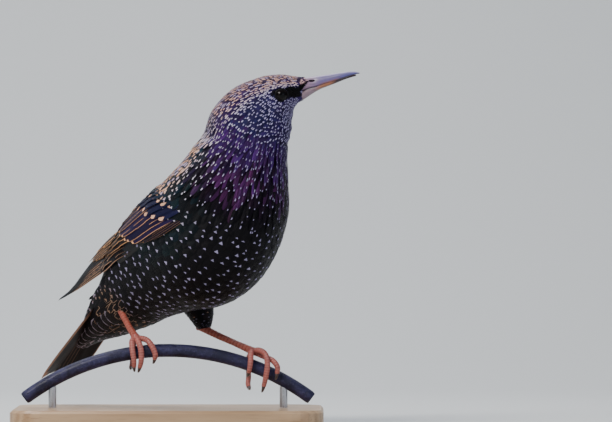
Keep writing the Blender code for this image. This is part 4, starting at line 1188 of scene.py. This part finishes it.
def bill_half(name, rows, upper, finish, node):
    """One half of the bill: a ridge outside, a flat cutting edge, and dents for nostrils in the upper one."""
    turns = 2 * math.pi * np.arange(28) / 28
    out, rise = np.cos(turns), np.sin(turns)
    flat = (rise < 0) == upper
    wide = np.copysign(np.abs(out) ** np.where(flat, 0.75, 1.1), out)
    tall = np.copysign(np.abs(rise) ** np.where(flat, 0.55, 0.95), rise)
    x, low, high, half = (column[:, None] for column in drawn(rows, 59).T)
    if not upper:
        high = high + MOUTH_GAP * smooth(65.0, 70.0, x)
    middle = low + (high - low) * (RIDGE_SHARE if upper else 0.72)
    z = middle + np.where(rise > 0, high - middle, middle - low) * tall
    aside = wide * half
    if upper:
        aside = aside * (1 - 0.24 * np.exp(-((x - NOSTRIL_X) / 1.7) ** 2 - ((z - NOSTRIL_Z) / 0.62) ** 2))
    made = ring_mesh(name, [bill_place(x, aside, z)], finish)
    points = np.array([vert.co for vert in made.data.vertices]) / MM
    colours = upper_bill_colours if upper else lower_bill_colours
    painted(made.data, "paint", colours(points[:, 0], points[:, 2]))
    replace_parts(made, node)


def bill_tufts(random):
    """Small feathers of the forehead and lores that run out over the bill's root towards its nostrils."""
    tops, outs, glosses, tips, spots = [], [], [], [], []
    along, across = np.linspace(0.0, 1.0, 6)[:, None], np.linspace(-1.0, 1.0, 5)
    outline = outline_at("round", along)
    for side in SIDES.values():
        for x in np.arange(TUFT_X[0], TUFT_X[-1], TUFT_STEP):
            middle, reach = (np.interp(x, TUFT_X, values) for values in (TUFT_MIDDLE, TUFT_REACH))
            count = max(2, int(2 * reach / TUFT_STEP))
            for z in middle + reach * np.linspace(-1.0, 1.0, count) + random.uniform(-0.1, 0.1, count):
                start = x + random.uniform(-0.15, 0.15)
                length, width = random.uniform(1.3, 1.7), random.uniform(0.55, 0.75)
                slope = 0.28 * (z - middle) * -0.4 + random.normal(0.0, 0.08)
                over = 0.05 + 0.28 * along - 0.1 * across**2 + 0.5 * smooth(61.9, 60.3, x)
                zs = z + slope * length * along + 0.5 * width * outline * across
                tops.append(bill_side(start + length * along, zs, over, side))
                outs.append(HEAD_LEFT * side)
                lower = smooth(0.5, -0.6, z - middle + 0.2)
                dark = blend(BROWN * 0.5 + VIOLET * 0.5, BLACK * 0.5, lower)
                glosses.append(dark * random.uniform(0.7, 1.3))
                tips.append((PEACH * 0.65 + LAVENDER * 0.3) * random.uniform(0.7, 1.1))
                spots.append((1 - lower) * (random.random() < 0.75))
    tops, spots = np.array(tops), np.array(spots)
    outs = np.broadcast_to(np.array(outs)[:, None, None], tops.shape)
    patches = np.stack([np.linspace(0.1, 0.9, len(tops)), np.full(len(tops), 0.985)], axis=1)
    values = vane_values(np.array(glosses), np.array(tips), 0.5 * spots, 0.62 * spots)
    finish = plumage("forehead plumage", 16.0, 0.4)
    vane_mesh("coat_forehead", tops, outs, 0.05, values, patches, finish)


def bill_side(x, z, over, side):
    """Places over the side of the bill's upper half."""
    _, low, high, half = bill_row(x)
    middle = low + (high - low) * RIDGE_SHARE
    rise = np.clip((z - middle) / (high - middle), 0.0, 0.98)
    return bill_place(x, (half + over) * np.sqrt(1 - rise**2) ** 1.1 * side, z)


def new_sphere(name, segments, rings, radius, finish):
    """A round ball at the origin, riding on the bird."""
    bpy.ops.object.select_all(action="DESELECT")
    bpy.ops.mesh.primitive_uv_sphere_add(segments=segments, ring_count=rings, radius=radius * MM)
    bpy.ops.object.shade_smooth()
    made = bpy.context.view_layer.objects.active
    made.name = name
    made.data.materials.append(finish)
    carried(made)
    return made


def build_bill():
    """Both halves of the bill, and in its nostrils near-black balls as painted shade."""
    upper = bill_material("upper bill horn", (0.085, 0.06, 0.12))
    lower = bill_material("lower bill horn", (0.10, 0.05, 0.05))
    bill_half("bill_upper", UPPER_BILL, True, upper, "upper_bill")
    bill_half("bill_lower", LOWER_BILL, False, lower, "lower_bill")
    # Painted shade: a near-black ball in each nostril's dent stands for the dark inside the opening
    dark, less_dark = (0.003, 0.002, 0.003), (0.02, 0.012, 0.02)
    hollow = mottled("nostril shade", 0.8, 2600.0, dark, less_dark, Specular_IOR_Level=0.1)
    for name, side in reversed(SIDES.items()):
        made = new_sphere("nostril_" + name, 24, 12, 1.0, hollow)
        bpy.ops.object.mode_set(mode="EDIT")
        bpy.ops.transform.resize(value=(NOSTRIL_LENGTH / 2, NOSTRIL_DEPTH / 2, NOSTRIL_HEIGHT / 2))
        bpy.ops.transform.translate(value=tuple(bill_place(NOSTRIL_X, side * NOSTRIL_ASIDE, NOSTRIL_Z) * MM))
        bpy.ops.object.mode_set(mode="OBJECT")
        made.select_set(False)


def eye_material(name, middle, axis):
    """A dark brown iris round a black pupil, under a clear wet coat."""
    made, n, shader = new_material(name, 0.16, Coat_Weight=0.14, Coat_Roughness=0.03, Specular_IOR_Level=0.06)
    inputs = {0: n.place(), 1: tuple(middle * MM)}
    away = n.add("ShaderNodeVectorMath", inputs, operation="SUBTRACT").outputs[0]
    dot = n.add("ShaderNodeVectorMath", {0: away, 1: tuple(axis)}, operation="DOT_PRODUCT").outputs["Value"]
    facing = n.math("DIVIDE", dot, EYE_RADIUS * MM)
    brown = n.mix(n.noise(away, 2600.0, 4.0), (0.003, 0.002, 0.0015), (0.008, 0.004, 0.003))
    ringed = n.mix(n.step(facing, 0.80, 0.86), (0.004, 0.003, 0.003), brown)
    n.put(shader["Base Color"], n.mix(n.step(facing, 0.91, 0.93), ringed, (0.002, 0.002, 0.002)))
    return made


def build_eyes():
    """Each eye with its clear bulge in front, and a ring of skin round it."""
    dark, less_dark = (0.0015, 0.001, 0.0015), (0.005, 0.004, 0.005)
    rim = mottled("eyelid skin", 0.55, 2500.0, dark, less_dark, Specular_IOR_Level=0.2)
    for name, (middle, axis) in EYES.items():
        finish = eye_material("eye glass " + name, middle, axis)
        made = new_sphere("eyeball_" + name, 48, 32, EYE_RADIUS, finish)
        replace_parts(made, "eye_" + name)
        points = np.array([vert.co for vert in made.data.vertices]) / MM
        bulge = 0.22 * smooth(0.72, 1.0, points @ axis / EYE_RADIUS)
        points = points + axis * bulge[:, None] + middle
        made.data.vertices.foreach_set("co", (points * MM).astype(np.float32).ravel())
        made.select_set(False)
        flat = unit(np.cross(axis, (0.0, 0.0, 1.0)))
        upright = np.cross(flat, axis)
        path = []
        for angle in np.linspace(0.0, 2 * math.pi, 49):
            reach = LID_REACH + 0.05 * math.cos(12 * angle)
            tall = 0.86 + 0.05 * math.cos(angle)
            round_it = flat * math.cos(angle) + upright * math.sin(angle) * tall
            place = middle + axis * LID_FORWARD + round_it * reach
            path.append((*place, LID_THICKNESS + 0.05 * math.sin(24 * angle)))
        tubes("eyelid_" + name, [path], rim, 10)


def scaled_skin(name, light, mid, dark, scale):
    """Horny leg skin: plates with paler edges, mottled, with painted highlights on each scute's swelling and
    painted shade in the grooves between them.
    """
    made, n, shader = new_material(name, 0.42, Coat_Weight=0.15)
    place = n.place()
    inputs = {"Vector": place, "Scale": scale}
    cells = n.add("ShaderNodeTexVoronoi", inputs, feature="DISTANCE_TO_EDGE").outputs["Distance"]
    swell_shading = n.attribute("paint")
    fine = n.noise(place, 2300.0, 3.0, 0.6)
    base = n.dabbed(mid, dark, n.noise(place, 420.0, 4.0, 0.6), 0.40, 0.72, 0.8)
    base = n.mix(n.times(n.step(cells, 0.0, 0.12, 1.0, 0.0), 0.22), base, light)
    # Painted highlight on the crest of each scute's swelling
    base = n.mix(n.step(swell_shading, 0.55, 1.0, 0.0, 0.45), base, light)
    # Painted shade in the grooves between the scutes
    base = n.mix(n.step(swell_shading, 0.4, 0.0, 0.0, 0.6), base, dark)
    n.put(shader["Base Color"], n.dabbed(base, light, fine, 0.5, 0.75, 0.35))
    n.put(shader["Roughness"], n.step(fine, 0.3, 0.7, 0.34, 0.55))
    n.bump(shader, n.math("ADD", n.step(cells, 0.0, 0.2), n.times(fine, 0.3)), 0.00012, 0.8)
    return made


def scuted(rows, steps, pitch, rise):
    """A limb's rows with a low swelling for each scute, and how far each row swells."""
    full = drawn(rows, steps)
    passed = np.concatenate([[0.0], np.cumsum(np.linalg.norm(np.diff(full[:, :3], axis=0), axis=1))])
    swell = np.sin(math.pi * ((passed / pitch) % 1.0)) ** 0.5
    full[:, 3] += rise * (swell - 0.6)
    return full, swell


def limb(name, paths, swells, finish, node, sides):
    """Tubes painted with how far each of their rings swells, for their material's painted highlights and
    shade, in place of a node.
    """
    made = tubes(name, paths, finish, sides)
    shades = [np.concatenate([np.repeat(swell, sides), swell[:1], swell[-1:]]) for swell in swells]
    painted(made.data, "paint", np.repeat(np.concatenate(shades)[:, None], 3, axis=1))
    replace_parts(made, node)


def build_legs():
    """Bare legs, toes and claws."""
    tarsus = scaled_skin("tarsus scales", (0.46, 0.15, 0.10), (0.32, 0.05, 0.03), (0.13, 0.02, 0.016), 1100.0)
    toe_skin = scaled_skin(
        "toe scales", (0.54, 0.20, 0.17), (0.36, 0.08, 0.062), (0.17, 0.036, 0.032), 1500.0,
    )
    dark, light = (0.020, 0.015, 0.018), (0.11, 0.085, 0.09)
    claw_horn = mottled("claw horn", 0.28, 1500.0, dark, light, Coat_Weight=0.3)
    for side in reversed(SIDES):
        shank, swell = scuted(LEGS[side], 150, 1.8, 0.09)
        limb("tarsus_" + side, [shank], [swell], tarsus, "leg_" + side, 24)
        toes, swells = zip(*(scuted(rows, 34 * (len(rows) - 1), 1.1, 0.11) for rows in TOES[side].values()))
        x, y, z = FOOT_BALLS[side]
        knob = [(x, y, z + 2.0 * math.sin(a), 2.2 * math.cos(a)) for a in np.linspace(-1.5, 1.5, 12)]
        shades = [*swells, np.full(12, 0.45)]
        limb("toes_" + side, [*toes, knob], shades, toe_skin, "foot_" + side, 20)
        for number, rows in TOES[side].items():
            node = f"claw_{side}_{number}"
            claw = tubes(f"claw_horn_{side}_{number}", [claw_rows(rows, number)], claw_horn, 14)
            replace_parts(claw, node)


def claw_rows(rows, number):
    """A claw's curve from the end of its toe round the perch. The first toe comes from behind."""
    path = drawn(rows, 2 * len(rows) - 2)
    heading = unit(path[-1, :3] - path[-2, :3])
    turning = 1.0 if number > 1 else -1.0
    point = path[-1, :3] - heading * 0.4
    steps, found = 16, []
    for s in np.arange(steps + 1) / steps:
        found.append((*point, path[-1, 3] * (0.9 * (1 - s) ** 0.7 + 0.06)))
        bend = math.radians(CLAW_CURL * (0.4 + s)) / steps * turning
        sideways = unit(np.cross((1.0, 0.0, 0.0), heading))
        heading = unit(heading * math.cos(bend) + sideways * math.sin(bend))
        point = point + heading * CLAW_LENGTH / steps
    return found


# Perch and stand

def perch_paint():
    """Dark blue-violet paint on iron, mottled and chipped, paler where it is worn."""
    made, n, shader = new_material("perch paint", 0.42, 0.15, Coat_Weight=0.08, Specular_IOR_Level=0.3)
    place = n.place()
    broad, fine = n.noise(place, 140.0, 4.0, 0.6), n.noise(place, 900.0, 5.0, 0.65)
    base = n.mix(n.step(broad, 0.35, 0.7), (0.009, 0.009, 0.032), (0.030, 0.028, 0.088))
    base = n.dabbed(base, (0.085, 0.08, 0.17), fine, 0.54, 0.72, 0.5)
    n.put(shader["Base Color"], n.dabbed(base, (0.006, 0.006, 0.018), fine, 0.45, 0.33, 0.85))
    n.put(shader["Roughness"], n.step(fine, 0.3, 0.7, 0.3, 0.6))
    n.bump(shader, n.math("ADD", fine, broad), 0.0006, 0.9)
    return made


def build_perch():
    """The bent rod, in one arc with slightly rounded ends."""
    share = np.linspace(-1.0, 1.0, 121)
    angles = math.radians(PERCH_HALF_ANGLE) * share
    x, z = PERCH_BEND * np.sin(angles), PERCH_TOP - PERCH_BEND * (1 - np.cos(angles))
    radius = (PERCH_RADIUS - 0.05) * (1 - 0.12 * smooth(0.985, 1.0, np.abs(share)))
    rows = np.stack([x, 0 * x, z, radius], axis=1)
    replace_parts(tubes("perch_rod", [rows], perch_paint(), 40), "perch")


def wood():
    """Pale wood with long grain and fine pores."""
    made, n, shader = new_material("stand base wood", 0.45, Coat_Weight=0.15)
    place = n.place()
    inputs = {"Scale": 90.0, "Distortion": 5.0, "Detail": 3.0, "Detail Scale": 1.4}
    inputs["Vector"] = n.scaled(place, (0.12, 1.0, 1.0))
    rings = n.add("ShaderNodeTexWave", inputs, wave_type="BANDS", bands_direction="Y").outputs["Fac"]
    bent = n.noise(n.scaled(place, (6.0, 40.0, 40.0)), 1.0, 3.0)
    pores = n.noise(n.scaled(place, (60.0, 1500.0, 1500.0)), 1.0, 2.0)
    base = n.mix(rings, (0.46, 0.30, 0.17), (0.34, 0.20, 0.10))
    base = n.dabbed(base, (0.55, 0.38, 0.23), bent, 0.4, 0.7, 0.4)
    n.put(shader["Base Color"], n.dabbed(base, (0.22, 0.12, 0.06), pores, 0.56, 0.7, 0.5))
    n.put(shader["Roughness"], n.step(pores, 0.4, 0.7, 0.4, 0.6))
    n.bump(shader, pores, 0.00008, 0.5)
    return made


def steel():
    """Drawn steel with fine lines along the rod."""
    made, n, shader = new_material("stand rod steel", 0.3, 1.0)
    lines = n.noise(n.scaled(n.place(), (2600.0, 2600.0, 60.0)), 1.0, 3.0)
    n.put(shader["Base Color"], n.mix(lines, (0.42, 0.42, 0.44), (0.62, 0.62, 0.64)))
    n.put(shader["Roughness"], n.step(lines, 0.3, 0.7, 0.22, 0.38))
    return made


def dress_stand():
    """The stand's own solids with their finishes."""
    finishes = {"stand_base": wood(), "stand_rod_left": steel(), "stand_rod_right": steel()}
    for name, finish in finishes.items():
        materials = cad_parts[name].data.materials
        materials.clear()
        materials.append(finish)


# Stage, in metres

FLOOR_HALF, FLOOR_FRONT, FLOOR_BACK, BACKDROP_CURVE, BACKDROP_TOP = 2.2, -3.0, 0.5, 0.6, 2.4
LAMPS = (
    ("key", (-0.55, -0.75, 0.95), 0.55, 17.0, (1.0, 0.96, 0.90)),
    ("top", (-0.15, 0.35, 1.05), 0.7, 11.0, (0.95, 0.96, 1.0)),
    ("fill", (0.9, -0.9, 0.35), 0.9, 3.0, (0.80, 0.86, 1.0)),
)
LAMP_TARGET = Vector((0.01, 0.0, 0.095))


def build_floor():
    """A pale floor that curves up into a backdrop. It has a front only, so it hides nothing from behind."""
    across = np.linspace(-FLOOR_HALF, FLOOR_HALF, 3)
    profile = [(FLOOR_FRONT, 0.0), (FLOOR_BACK, 0.0)]
    for angle in np.linspace(0.1, math.pi / 2, 14):
        out = FLOOR_BACK + BACKDROP_CURVE * math.sin(angle)
        profile.append((out, BACKDROP_CURVE * (1 - math.cos(angle))))
    profile.append((FLOOR_BACK + BACKDROP_CURVE, BACKDROP_TOP))
    grid = np.arange(len(across) * len(profile)).reshape(len(across), len(profile))
    faces = np.stack([grid[:-1, :-1], grid[1:, :-1], grid[1:, 1:], grid[:-1, 1:]], axis=-1).reshape(-1, 4)
    mesh = bpy.data.meshes.new("floor")
    mesh.from_pydata([(x, y, z) for x in across for y, z in profile], [], faces.tolist())
    mesh.polygons.foreach_set("use_smooth", np.ones(len(faces), bool))
    pale, n, shader = new_material("floor", 0.9)
    n.put(shader["Base Color"], (0.62, 0.64, 0.64))
    behind = n.add("ShaderNodeNewGeometry").outputs["Backfacing"]
    n.put(shader["Alpha"], n.less(1.0, behind))
    mesh.materials.append(pale)
    floor = bpy.data.objects.new("floor", mesh)
    bpy.context.scene.collection.objects.link(floor)


def build_lights():
    """Soft lamps round the bird and a dim bluish surround."""
    world = bpy.data.worlds.new("studio")
    bpy.context.scene.world = world
    world.use_nodes = True
    sky = world.node_tree.nodes["Background"].inputs
    sky["Color"].default_value = (0.70, 0.80, 1.0, 1.0)
    sky["Strength"].default_value = 0.24
    for name, place, size, power, colour in LAMPS:
        light = bpy.data.lights.new(name, "AREA")
        light.shape = "DISK"
        light.size = size
        light.energy = power
        light.color = colour
        lamp = bpy.data.objects.new(name, light)
        lamp.location = place
        lamp.rotation_euler = (LAMP_TARGET - lamp.location).to_track_quat("-Z", "Y").to_euler()
        bpy.context.scene.collection.objects.link(lamp)


def build_camera():
    """The photograph's camera, level with the middle of its frame."""
    scale = MM_PER_PIXEL * MM
    data = bpy.data.cameras.new("camera")
    data.sensor_width = SENSOR
    data.lens = SENSOR * CAMERA_AWAY / (PHOTO_WIDTH * scale)
    camera = bpy.data.objects.new("camera", data)
    x, z = (PHOTO_WIDTH / 2 - ORIGIN_PIXEL_X) * scale, (FLOOR_PIXEL_Y - PHOTO_HEIGHT / 2) * scale
    camera.location = (x, -CAMERA_AWAY, z)
    camera.rotation_euler = (math.pi / 2, 0.0, 0.0)
    bpy.context.scene.collection.objects.link(camera)
    bpy.context.scene.camera = camera


def main():
    """The whole bird, its stand and the stage, from one seeded source of random numbers."""
    bpy.ops.object.select_all(action="DESELECT")
    random = np.random.default_rng(11)
    build_skin()
    coat(random)
    for name, side in SIDES.items():
        wing_feathers(side, name, random)
    tail_feathers(random)
    undertail_coverts(random)
    thigh_feathers(random)
    build_bill()
    bill_tufts(random)
    build_eyes()
    build_legs()
    build_perch()
    dress_stand()
    build_floor()
    build_lights()
    build_camera()


main()
